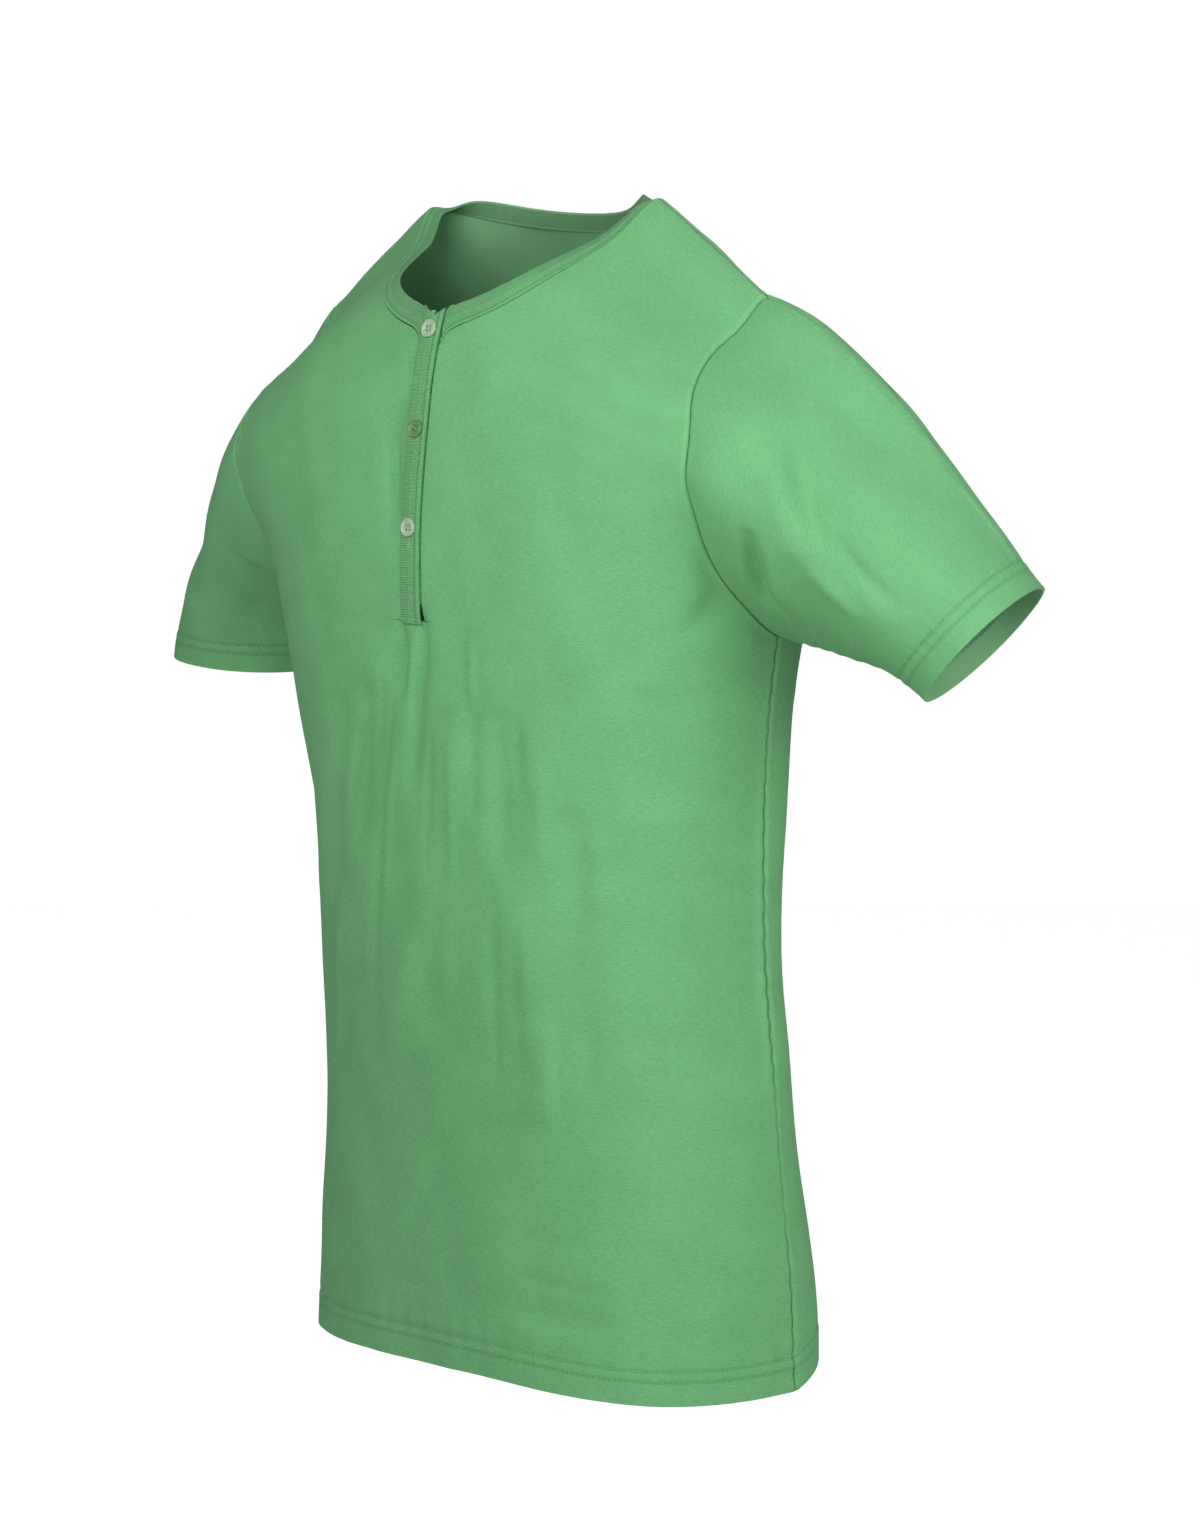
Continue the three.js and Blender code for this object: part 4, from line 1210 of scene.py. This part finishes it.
def cloth_material(name, colour, shade, reverse, bump_strength, rib_spacing=None):
    """Matte knitted cotton: colour with grain, a greyer reverse side, and painted highlight and
    painted shade along seams, ridges, stitch grooves and between ribs.
    """
    material, tree = empty_material(name)
    links = tree.links
    grain_tree, rib_tree = groups()
    uv = node(tree, "ShaderNodeUVMap", (-1300, 0), uv_map="cloth")
    grain = node(tree, "ShaderNodeGroup", (-1100, 0), node_tree=grain_tree)
    links.new(uv.outputs[0], grain.inputs["Cloth"])
    share = spread(tree, (-900, 200), grain.outputs["Shade"], in_From_Min=0.72, in_From_Max=1.18)
    tone = mixed_colour(tree, (-740, 200), shade, colour, share)
    inside = node(tree, "ShaderNodeAttribute", (-900, -220), attribute_name="inside").outputs["Fac"]
    inside = maths(tree, "MULTIPLY", (-740, -220), inside, 0.85)
    tone = mixed_colour(tree, (-600, 60), tone, reverse, inside)
    # The seam attribute is painted light: where it is above 0 a painted highlight mixes in a paler
    # colour, and where it is below 0 painted shade is multiplied in
    seam = node(tree, "ShaderNodeAttribute", (-900, -60), attribute_name="seam").outputs["Fac"]
    ridge = maths(tree, "MULTIPLY", (-700, -60), seam, 0.5)
    pale = [min(1, c * 1.18 + 0.02) for c in colour]
    tone = mixed_colour(tree, (-500, 120), tone, pale, ridge)
    groove = maths(tree, "MULTIPLY", (-560, 300), seam, -0.8)
    tone = mixed_colour(tree, (-400, 240), tone, GROOVE_SHADE, groove, "MULTIPLY")
    height = grain.outputs["Height"]
    if rib_spacing:
        ribs = node(
            tree, "ShaderNodeGroup", (-1100, -300), node_tree=rib_tree, in_Spacing=rib_spacing)
        links.new(uv.outputs[0], ribs.inputs["Cloth"])
        marked = maths(tree, "ABSOLUTE", (-1220, -420), seam)
        smooth = maths(tree, "SUBTRACT", (-1060, -420), 1.0, marked)
        lines = maths(tree, "MULTIPLY", (-700, -420), ribs.outputs["Height"], smooth)
        raised = maths(tree, "MULTIPLY", (-600, -520), lines, 3.2)
        height = maths(tree, "ADD", (-500, -380), height, raised)
        # painted shade in the valleys between the ribs
        valley_shade = maths(tree, "SUBTRACT", (-500, -520), smooth, lines)
        valley_shade = maths(tree, "MULTIPLY", (-300, -420), valley_shade, 0.6)
        tone = mixed_colour(tree, (-200, 60), tone, VALLEY_SHADE, valley_shade, "MULTIPLY")
    normal = bump(tree, (-200, -240), height, bump_strength, 0.00012)
    finish_surface(
        tree, {"Base Color": tone, "Normal": normal}, in_Roughness=0.9, in_Specular_IOR_Level=0.25,
        in_Sheen_Weight=0.07, in_Sheen_Roughness=0.5, in_Sheen_Tint=(0.6, 1.0, 0.65, 1))
    return material


def thread_material(name, colour):
    """Twisted sewing thread."""
    material, tree = empty_material(name)
    place = node(tree, "ShaderNodeTexCoord", (-900, 0)).outputs["Object"]
    twist = noise(tree, (-700, 0), place, in_Scale=2600.0, in_Detail=2.0)
    dark, pale = [c * 0.8 for c in colour], [min(1, c * 1.15) for c in colour]
    tone = mixed_colour(tree, (-400, 100), dark, pale, twist)
    normal = bump(tree, (-400, -200), twist, 0.4, 0.0001)
    finish_surface(
        tree, {"Base Color": tone, "Normal": normal}, in_Roughness=0.65, in_Sheen_Weight=0.2)
    return material


def button_material(name, colour, cloudy):
    """Smooth cast plastic, slightly see-through, with soft clouds and fine scuffs."""
    material, tree = empty_material(name)
    place = node(tree, "ShaderNodeTexCoord", (-1000, 0)).outputs["Object"]
    clouds = noise(tree, (-800, 100), place, in_Scale=420.0, in_Detail=3.0, in_Distortion=1.2)
    clouds = spread(tree, (-640, 100), clouds, in_From_Min=0.35, in_From_Max=0.65)
    tone = mixed_colour(tree, (-400, 100), cloudy, colour, clouds)
    scuffs = noise(tree, (-800, -200), place, in_Scale=5200.0, in_Detail=2.0)
    rough = spread(tree, (-500, -200), scuffs, in_To_Min=0.26, in_To_Max=0.44)
    finish_surface(
        tree, {"Base Color": tone, "Roughness": rough}, in_Subsurface_Weight=0.35,
        in_Subsurface_Radius=(1.0, 1.0, 0.8), in_Subsurface_Scale=0.0008, in_Coat_Weight=0.25,
        in_Coat_Roughness=0.2)
    return material


def paper_material(name, colour, glow):
    """Pale paper. The camera sees it a little brighter than it is lit."""
    material = bpy.data.materials.new(name)
    material.use_nodes = True
    tree = material.node_tree
    surface = tree.nodes["Principled BSDF"]
    surface.inputs["Base Color"].default_value = (*colour, 1)
    surface.inputs["Roughness"].default_value = 0.95
    surface.inputs["Specular IOR Level"].default_value = 0.1
    surface.inputs["Emission Color"].default_value = (1, 1, 1, 1)
    path = node(tree, "ShaderNodeLightPath", (-500, -300))
    seen = maths(tree, "MULTIPLY", (-250, -300), path.outputs["Is Camera Ray"], glow)
    tree.links.new(seen, surface.inputs["Emission Strength"])
    return material


def material_named(name, make):
    return bpy.data.materials.get(name) or make(name)


def jersey(settings):
    return material_named("green_jersey", lambda name: cloth_material(
        name, settings.jersey_colour, settings.jersey_shade, settings.reverse_colour, 0.5))


def rib(settings):
    return material_named("green_rib", lambda name: cloth_material(
        name, settings.rib_colour, settings.jersey_shade, settings.reverse_colour, 0.9,
        settings.rib_spacing))


def thread(settings):
    return material_named(
        "sewing_thread", lambda name: thread_material(name, settings.thread_colour))


def plastic(name, colour, clouded):
    """Button plastic of a colour, with clouds that are darker by a share."""
    return material_named(
        name, lambda name: button_material(name, colour, [clouded * c for c in colour]))


class HenleyClothSettings(bpy.types.PropertyGroup):
    """Sizes and colours of the cloth."""

    thickness: bpy.props.FloatProperty(
        name="Thickness", description="Thickness of one layer of jersey",
        default=0.0011, min=0.0009, max=0.0016, subtype="DISTANCE", unit="LENGTH", precision=4)
    crease_strength: bpy.props.FloatProperty(
        name="Crease strength", description="How deep the finer creases and ripples are",
        default=2.2, min=0, max=3, subtype="FACTOR")
    jersey_colour: bpy.props.FloatVectorProperty(
        name="Jersey", description="Colour of the jersey where it is lightest",
        default=(0.2, 0.54, 0.235), min=0, max=1, size=3, subtype="COLOR")
    jersey_shade: bpy.props.FloatVectorProperty(
        name="Jersey, darker yarn", description="Colour of the darker yarn in the knit",
        default=(0.155, 0.445, 0.185), min=0, max=1, size=3, subtype="COLOR")
    reverse_colour: bpy.props.FloatVectorProperty(
        name="Reverse side", description="Colour of the cloth's greyer inner side",
        default=(0.25, 0.55, 0.28), min=0, max=1, size=3, subtype="COLOR")
    rib_colour: bpy.props.FloatVectorProperty(
        name="Rib", description="Colour of the rib knit of band and placket",
        default=(0.21, 0.54, 0.245), min=0, max=1, size=3, subtype="COLOR")
    rib_spacing: bpy.props.FloatProperty(
        name="Rib spacing", description="Distance from rib to rib along the band",
        default=0.0015, min=0.0008, max=0.003, subtype="DISTANCE", unit="LENGTH", precision=4)

    @property
    def thickness_mm(self):
        return self.thickness / METRE


class HenleySewingSettings(bpy.types.PropertyGroup):
    """Sizes and colours of the sewing and the buttons."""

    stitch_length: bpy.props.FloatProperty(
        name="Stitch length", description="Length of one hem stitch",
        default=0.0024, min=0.001, max=0.005, subtype="DISTANCE", unit="LENGTH", precision=4)
    stitch_gap: bpy.props.FloatProperty(
        name="Stitch gap", description="Gap between two hem stitches",
        default=0.0010, min=0.0003, max=0.003, subtype="DISTANCE", unit="LENGTH", precision=4)
    thread_radius: bpy.props.FloatProperty(
        name="Thread radius", description="Half the thickness of the sewing thread",
        default=0.00024, min=0.0001, max=0.0006, subtype="DISTANCE", unit="LENGTH", precision=5)
    thread_colour: bpy.props.FloatVectorProperty(
        name="Thread", description="Colour of the sewing thread",
        default=(0.23, 0.56, 0.27), min=0, max=1, size=3, subtype="COLOR")
    button_radius: bpy.props.FloatProperty(
        name="Button radius", description="Half the button's width",
        default=0.0056, min=0.004, max=0.008, subtype="DISTANCE", unit="LENGTH", precision=4)
    button_height: bpy.props.FloatProperty(
        name="Button height", description="The button's thickness at its rim",
        default=0.0022, min=0.001, max=0.004, subtype="DISTANCE", unit="LENGTH", precision=4)
    pale_colour: bpy.props.FloatVectorProperty(
        name="Pale button", description="Colour of the first and the last button",
        default=(0.5, 0.66, 0.45), min=0, max=1, size=3, subtype="COLOR")
    olive_colour: bpy.props.FloatVectorProperty(
        name="Olive button", description="Colour of the middle button",
        default=(0.17, 0.35, 0.155), min=0, max=1, size=3, subtype="COLOR")


class HenleyStageSettings(bpy.types.PropertyGroup):
    """Floor, light and camera."""

    floor_height: bpy.props.FloatProperty(
        name="Floor height", description="Height of the floor below the shoulders",
        default=-1.0, subtype="DISTANCE", unit="LENGTH")
    key_power: bpy.props.FloatProperty(
        name="Key light", description="Power of the large light beside the camera",
        default=7.0, min=0, unit="POWER")
    side_power: bpy.props.FloatProperty(
        name="Side light", description="Power of the light on the wearer's left",
        default=10.2, min=0, unit="POWER")
    fill_power: bpy.props.FloatProperty(
        name="Fill light", description="Power of the large light behind the shirt",
        default=3.0, min=0, unit="POWER")
    room_light: bpy.props.FloatProperty(
        name="Room light", description="Strength of the even light from all round",
        default=0.2, min=0, subtype="FACTOR")
    paper_glow: bpy.props.FloatProperty(
        name="Paper glow", description="How much brighter the camera sees floor and backdrop",
        default=0.8, min=0, subtype="FACTOR")
    focal_length: bpy.props.FloatProperty(
        name="Focal length", description="The camera's focal length on a 36 mm sensor",
        default=100.81, min=20, max=200, subtype="DISTANCE_CAMERA")


# The sheets stay here for the operators that sew on them.
SEWN = {}


class HENLEY_OT_panels(bpy.types.Operator):
    """Front and back panel with their folds, turned hems and seam edges"""

    bl_idname = "henley.panels"
    bl_label = "Front and back"

    def execute(self, context):
        cloth = context.scene.henley_cloth
        for face, name, node_name, flat, area in (
            (-1, "front_cloth", "front_panel", FRONT_FLAT, FRONT_AREA),
            (1, "back_cloth", "back_panel", BACK_FLAT, BACK_AREA),
        ):
            sheet = panel_sheet(face, cloth)
            SEWN[name] = sheet
            piece = shell(sheet, name, jersey(cloth), "jersey", node_name)
        return {"FINISHED"}


class HENLEY_OT_sleeves(bpy.types.Operator):
    """Both set-in sleeves with their folds and turned cuffs"""

    bl_idname = "henley.sleeves"
    bl_label = "Sleeves"

    def execute(self, context):
        cloth = context.scene.henley_cloth
        for hand, name, node_name, flat, area in (
            (1, "left_sleeve_cloth", "left_sleeve", LEFT_SLEEVE_FLAT, LEFT_SLEEVE_AREA),
            (-1, "right_sleeve_cloth", "right_sleeve", RIGHT_SLEEVE_FLAT, RIGHT_SLEEVE_AREA),
        ):
            sheet = sleeve_sheet(hand, cloth)
            SEWN[name] = sheet
            piece = shell(sheet, name, jersey(cloth), "jersey", node_name)
        return {"FINISHED"}


class HENLEY_OT_neckband(bpy.types.Operator):
    """Ribbed neckband with its folded edge and the piped ridge along its seam"""

    bl_idname = "henley.neckband"
    bl_label = "Neckband"

    def execute(self, context):
        sheet = band_sheet()
        SEWN["neckband_rib"] = sheet
        piece = shell(sheet, "neckband_rib", rib(context.scene.henley_cloth), "rib", "neckband")
        return {"FINISHED"}


class HENLEY_OT_plackets(bpy.types.Operator):
    """Upper and under placket strip"""

    bl_idname = "henley.plackets"
    bl_label = "Plackets"

    def execute(self, context):
        material = rib(context.scene.henley_cloth)
        upper = placket_sheet(UPPER_PLACKET, upper_profile)
        under = placket_sheet(UNDER_PLACKET, lambda x, z: 0 * x * z)
        SEWN["upper_strip"] = upper
        piece = shell(upper, "upper_strip", material, "rib", "upper_placket")
        piece = shell(under, "under_strip", material, "rib", "under_placket")
        return {"FINISHED"}


def button_place(z):
    """The frame of a button that lies on the upper strip at a height."""
    places, normals = front_point(np.array([0.0]), np.array([float(z)]))
    lift = UPPER_PLACKET["lift"] + PLACKET_WALL / 2 + BUTTON_GAP
    base = Vector((places[0] + normals[0] * lift) * METRE)
    up = Vector(normals[0])
    side = up.cross(Vector((0, 0, 1))).normalized()
    other = up.cross(side)
    turned = Matrix((side, other, up)).transposed().to_4x4()
    return Matrix.Translation(base) @ turned


def select_faces(piece, wanted):
    """Selects the faces that a test of their middle and normal picks, in edit mode."""
    bpy.ops.object.mode_set(mode="EDIT")
    bpy.ops.mesh.select_all(action="DESELECT")
    bpy.ops.mesh.select_mode(type="FACE")
    bpy.ops.object.mode_set(mode="OBJECT")
    for polygon in piece.data.polygons:
        polygon.select = bool(wanted(polygon.center, polygon.normal))
    bpy.ops.object.mode_set(mode="EDIT")


def apply_modifier(piece, kind, **settings):
    modifier = piece.modifiers.new(kind.lower(), kind)
    for key, value in settings.items():
        setattr(modifier, key, value)
    bpy.ops.object.select_all(action="DESELECT")
    piece.select_set(True)
    bpy.context.view_layer.objects.active = piece
    bpy.ops.object.modifier_apply(modifier=modifier.name)


def model_button(name, radius, height):
    """A round button with a raised rim, a dished middle and four holes, on its back at 0."""
    bpy.ops.object.select_all(action="DESELECT")
    bpy.ops.mesh.primitive_cylinder_add(
        vertices=48, radius=radius, depth=height, location=(0, 0, height / 2))
    button = bpy.context.active_object
    button.name = name
    bpy.ops.object.transform_apply(location=True, rotation=True, scale=True)
    select_faces(button, lambda middle, normal: normal.z > 0.9)
    bpy.ops.mesh.inset(thickness=radius * 0.22)
    bpy.ops.mesh.inset(thickness=radius * 0.1)
    bpy.ops.transform.translate(value=(0, 0, -height * 0.34))
    bpy.ops.mesh.inset(thickness=radius * 0.3)
    bpy.ops.transform.translate(value=(0, 0, -height * 0.05))
    bpy.ops.object.mode_set(mode="OBJECT")
    select_faces(button, lambda middle, normal: normal.z < -0.9)
    bpy.ops.mesh.inset(thickness=radius * 0.12)
    bpy.ops.object.mode_set(mode="OBJECT")
    apply_modifier(
        button, "BEVEL", width=height * 0.14, segments=3, limit_method="ANGLE",
        angle_limit=math.radians(28), harden_normals=False)
    cutters = []
    for x, y in ((1, 1), (-1, 1), (-1, -1), (1, -1)):
        bpy.ops.mesh.primitive_cylinder_add(
            vertices=16, radius=radius * 0.155, depth=height * 3,
            location=(x * BUTTON_HOLE_OFF * METRE, y * BUTTON_HOLE_OFF * METRE, height / 2))
        cutters.append(bpy.context.active_object)
    bpy.ops.object.select_all(action="DESELECT")
    for cutter in cutters:
        cutter.select_set(True)
    bpy.context.view_layer.objects.active = cutters[0]
    bpy.ops.object.join()
    cutter = cutters[0]
    bpy.ops.object.transform_apply(location=True, rotation=True, scale=True)
    apply_modifier(button, "BOOLEAN", operation="DIFFERENCE", object=cutter, solver="EXACT")
    bpy.data.objects.remove(cutter, do_unlink=True)
    button.select_set(True)
    bpy.context.view_layer.objects.active = button
    bpy.ops.object.shade_smooth_by_angle(angle=math.radians(35))
    return button


class HENLEY_OT_buttons(bpy.types.Operator):
    """Three four-hole buttons with the thread that holds them"""

    bl_idname = "henley.buttons"
    bl_label = "Buttons"

    def execute(self, context):
        sewing = context.scene.henley_sewing
        pale = plastic("pale_plastic", sewing.pale_colour, 0.8)
        olive = plastic("olive_plastic", sewing.olive_colour, 0.75)
        pattern = model_button("button_pattern", sewing.button_radius, sewing.button_height)
        # two threads from hole to hole on either side, seen from the button's middle
        off, level = BUTTON_HOLE_OFF, sewing.button_height / METRE * 0.61 + 0.12
        lanes = [x + aside for x in (-off, off) for aside in (-0.14, 0.14)]
        lows, highs = (
            np.array([[x, way * (off + 0.25), level] for x in lanes]) for way in (-1, 1))
        for k, (z, twist) in enumerate(zip(BUTTON_HEIGHTS, BUTTON_TWISTS)):
            place = button_place(z) @ Matrix.Rotation(math.radians(twist), 4, "Z")
            mesh = pattern.data.copy()
            mesh.transform(place)
            mesh.materials.clear()
            mesh.materials.append(olive if k == 1 else pale)
            material_slot = "button_olive" if k == 1 else "button_pale"
            link(mesh, f"round_button_{k + 1}", material_slot, f"button_{k + 1}")
            place = np.array(place)
            turn, where = place[:3, :3], place[:3, 3] / METRE
            ups = np.repeat(place[None, :3, 2], len(lanes), axis=0)
            mesh = threads(
                f"button_thread_{k + 1}", lows @ turn.T + where, highs @ turn.T + where, ups,
                0.15, 0.3, thread(sewing), rings=7, sides=6)
            link(mesh, f"button_thread_{k + 1}", "rib")
        bpy.data.objects.remove(pattern, do_unlink=True)
        return {"FINISHED"}


# Flat sizes of the cut pieces in metres, as width by length, and areas where they aren't
# rectangles
FRONT_FLAT, FRONT_AREA = (0.54, 0.735), 0.335
BACK_FLAT, BACK_AREA = (0.54, 0.735), 0.33
LEFT_SLEEVE_FLAT, LEFT_SLEEVE_AREA = (0.44, 0.25), 0.08
RIGHT_SLEEVE_FLAT, RIGHT_SLEEVE_AREA = (0.44, 0.25), 0.08


class HENLEY_OT_sewing(bpy.types.Operator):
    """Hem, cuff, shoulder, neckband and placket stitching, and the buttonholes"""

    bl_idname = "henley.sewing"
    bl_label = "Sewing"

    def execute(self, context):
        sewing = context.scene.henley_sewing
        material = thread(sewing)
        length, gap = sewing.stitch_length / METRE, sewing.stitch_gap / METRE
        radius = sewing.thread_radius / METRE

        def sew(name, lines, radius=radius, length=length, gap=gap, arch=0.25):
            parts = [stitch_line(places, normals, length, gap) for places, normals in lines]
            starts, ends, normals = (np.concatenate(p) for p in zip(*parts))
            link(threads(name, starts, ends, normals, radius, arch, material), name, "rib")

        def cover(name, pairs, spacing=1.1, radius=0.16):
            parts = [zigzag(low, high, spacing) for low, high in pairs]
            starts, ends, normals = (np.concatenate(p) for p in zip(*parts))
            mesh = threads(name, starts, ends, normals, radius, 0.12, material, rings=3, sides=4)
            link(mesh, name, "rib")

        panels = [SEWN[name] for name in ("front_cloth", "back_cloth")]
        sleeves = [SEWN[name] for name in ("left_sleeve_cloth", "right_sleeve_cloth")]
        sew("hem_stitching", [hem_line(sheet, at) for sheet in panels for at in HEM_LINES])
        sew("cuff_stitching", [cuff_line(sheet, at) for sheet in sleeves for at in CUFF_LINES])
        shoulder = []
        for grid in panels[0].grids:
            down = grid["up"][-1:] - grid["up"]
            shoulder += [line_at(grid, down, at) for at in SHOULDER_LINES]
        sew("shoulder_stitching", shoulder, length=1.8, gap=0.9)
        half = UPPER_PLACKET["half"]
        for name, sheet, reach, lanes in (
            ("band", "neckband_rib", (BAND_SEAM_GAP, BAND_WIDTH), BAND_LANES),
            ("strip", "upper_strip", (-half, half), STRIP_LANES),
        ):
            lanes = [lane_along(SEWN[sheet].grids[0], reach, at) for at in lanes]
            sew(f"{name}_stitching", lanes, radius=0.2, length=1.5, gap=0.7, arch=0.2)
            cover(f"{name}_cover_thread", list(zip(lanes, lanes[1:])))
        pairs = [[cuff_line(sheet, at, inside=True) for at in CUFF_INNER] for sheet in sleeves]
        cover("cuff_inner_stitching", pairs, spacing=1.5, radius=0.36)
        pairs = [[hem_line(sheet, at, inside=True) for at in HEM_INNER] for sheet in panels]
        cover("hem_inner_stitching", pairs, spacing=1.3, radius=0.3)
        xs = np.linspace(-half + 0.6, half - 0.6, 24)
        places, normals = front_point(xs, np.full(24, UPPER_PLACKET["bottom"] + 3.0))
        places = places + normals * (UPPER_PLACKET["lift"] + PLACKET_WALL / 2 - 0.1)
        sew("strip_end_stitching", [(places, normals)], radius=0.26, length=2.0, gap=0.7)
        holes()
        return {"FINISHED"}


def holes():
    """Buttonholes: dense satin stitches round a slit, peeping out from under each button."""
    material = thread(bpy.context.scene.henley_sewing)
    half, wide, step = 6.6, 1.25, 0.42
    level = UPPER_PLACKET["lift"] + PLACKET_WALL / 2
    stitches = []

    def satin(x, z, x2, z2, lift):
        start, up = front_point(x, z)
        end, _ = front_point(x2, z2)
        stitches.append((start + up * lift, end + up * lift, up))

    for centre in np.add(BUTTON_HEIGHTS, BUTTONHOLE_SHIFTS):
        for side in (-1, 1):
            z = np.arange(-half, half + step / 2, step) + centre
            satin(np.full(len(z), side * 0.2), z, np.full(len(z), side * wide), z, level + 0.08)
        for end in (-1, 1):
            x = np.arange(-wide, wide + 0.1, step)
            z = np.full(len(x), centre + end * half)
            satin(x, z, x, z + end * 1.5, level + 0.14)
    starts, ends, ups = (np.concatenate(a) for a in zip(*stitches))
    link(threads("buttonholes", starts, ends, ups, 0.24, 0.22, material), "buttonholes", "rib")


# Stage, in metres and degrees
PAPER_SIZE = 12
BACKDROP_DISTANCE = 4.5  # further than the camera goes when it looks from behind
CAMERA_PLACE = (1.9361, -1.8823, -0.102)
CAMERA_FACING = 45  # from straight back, towards the wearer's right
CAMERA_TILT = 5.3  # downwards
# each light's size, its place and the point that it faces
LIGHTS = {
    "key": (0.7, (0.35, -0.95, 0.2), (0, 0, -0.05)),
    "side": (0.9, (1.5, -0.2, 0.1), (0, 0, -0.3)),
    "fill": (1.4, (-1.2, 1.6, 1.0), (0, 0, -0.35)),
}


class HENLEY_OT_stage(bpy.types.Operator):
    """Floor, backdrop, soft lights and camera"""

    bl_idname = "henley.stage"
    bl_label = "Stage"

    def execute(self, context):
        settings = context.scene.henley_stage
        low = settings.floor_height
        facing, down = math.radians(CAMERA_FACING), math.radians(CAMERA_TILT)
        flat = Vector((-math.sin(facing), math.cos(facing), 0))
        bpy.ops.object.select_all(action="DESELECT")
        bpy.ops.mesh.primitive_plane_add(size=PAPER_SIZE, location=(0, 0, low))
        floor = bpy.context.active_object
        floor.name = "floor"
        bpy.ops.object.transform_apply(location=True, rotation=True, scale=True)
        paper = paper_material("floor_paper", (0.9, 0.9, 0.9), settings.paper_glow)
        floor.data.materials.append(paper)
        bpy.ops.object.select_all(action="DESELECT")
        bpy.ops.mesh.primitive_plane_add(
            size=PAPER_SIZE, location=flat * BACKDROP_DISTANCE + Vector((0, 0, low + 5)),
            rotation=(math.radians(90), 0, facing))
        wall = bpy.context.active_object
        wall.name = "backdrop"
        bpy.ops.object.transform_apply(location=True, rotation=True, scale=True)
        wall.data.materials.append(paper)
        world = bpy.data.worlds.new("room")
        world.use_nodes = True
        background = world.node_tree.nodes["Background"]
        background.inputs["Color"].default_value = (1, 1, 1, 1)
        background.inputs["Strength"].default_value = settings.room_light
        context.scene.world = world
        context.scene.view_settings.view_transform = "Standard"
        for name, (size, where, towards) in LIGHTS.items():
            light = bpy.data.lights.new(name, "AREA")
            light.energy, light.size = getattr(settings, f"{name}_power"), size
            lamp = bpy.data.objects.new(name, light)
            context.scene.collection.objects.link(lamp)
            lamp.location = where
            aim = Vector(towards) - Vector(where)
            lamp.rotation_euler = aim.to_track_quat("-Z", "Y").to_euler()
        camera = bpy.data.cameras.new("camera")
        camera.lens, camera.sensor_width = settings.focal_length, 36
        camera.clip_start, camera.clip_end = 0.1, 50
        view = bpy.data.objects.new("camera", camera)
        context.scene.collection.objects.link(view)
        view.location = CAMERA_PLACE
        ahead = flat * math.cos(down) - Vector((0, 0, math.sin(down)))
        view.rotation_euler = ahead.to_track_quat("-Z", "Y").to_euler()
        context.scene.camera = view
        return {"FINISHED"}


class HENLEY_PT_build(bpy.types.Panel):
    """Sizes, colours and the steps that build the shirt"""

    bl_idname = "HENLEY_PT_build"
    bl_label = "Henley shirt"
    bl_space_type = "VIEW_3D"
    bl_region_type = "UI"
    bl_category = "Henley"

    def draw(self, context):
        layout = self.layout
        for title, settings in (
            ("Cloth", context.scene.henley_cloth),
            ("Sewing and buttons", context.scene.henley_sewing),
            ("Stage", context.scene.henley_stage),
        ):
            box = layout.box()
            box.label(text=title)
            for name in settings.__annotations__:
                box.prop(settings, name)
        for operator in OPERATORS:
            layout.operator(operator.bl_idname)


OPERATORS = (
    HENLEY_OT_panels,
    HENLEY_OT_sleeves,
    HENLEY_OT_neckband,
    HENLEY_OT_plackets,
    HENLEY_OT_buttons,
    HENLEY_OT_sewing,
    HENLEY_OT_stage,
)
SETTINGS = (HenleyClothSettings, HenleySewingSettings, HenleyStageSettings)
CLASSES = (*SETTINGS, *OPERATORS, HENLEY_PT_build)


def register():
    for cls in CLASSES:
        bpy.utils.register_class(cls)
    scene = bpy.types.Scene
    scene.henley_cloth = bpy.props.PointerProperty(type=HenleyClothSettings)
    scene.henley_sewing = bpy.props.PointerProperty(type=HenleySewingSettings)
    scene.henley_stage = bpy.props.PointerProperty(type=HenleyStageSettings)


def unregister():
    del bpy.types.Scene.henley_stage
    del bpy.types.Scene.henley_sewing
    del bpy.types.Scene.henley_cloth
    for cls in reversed(CLASSES):
        bpy.utils.unregister_class(cls)


def main():
    register()
    bpy.ops.henley.panels()
    bpy.ops.henley.sleeves()
    bpy.ops.henley.neckband()
    bpy.ops.henley.plackets()
    bpy.ops.henley.buttons()
    bpy.ops.henley.sewing()
    bpy.ops.henley.stage()


if __name__ == "__main__":
    main()
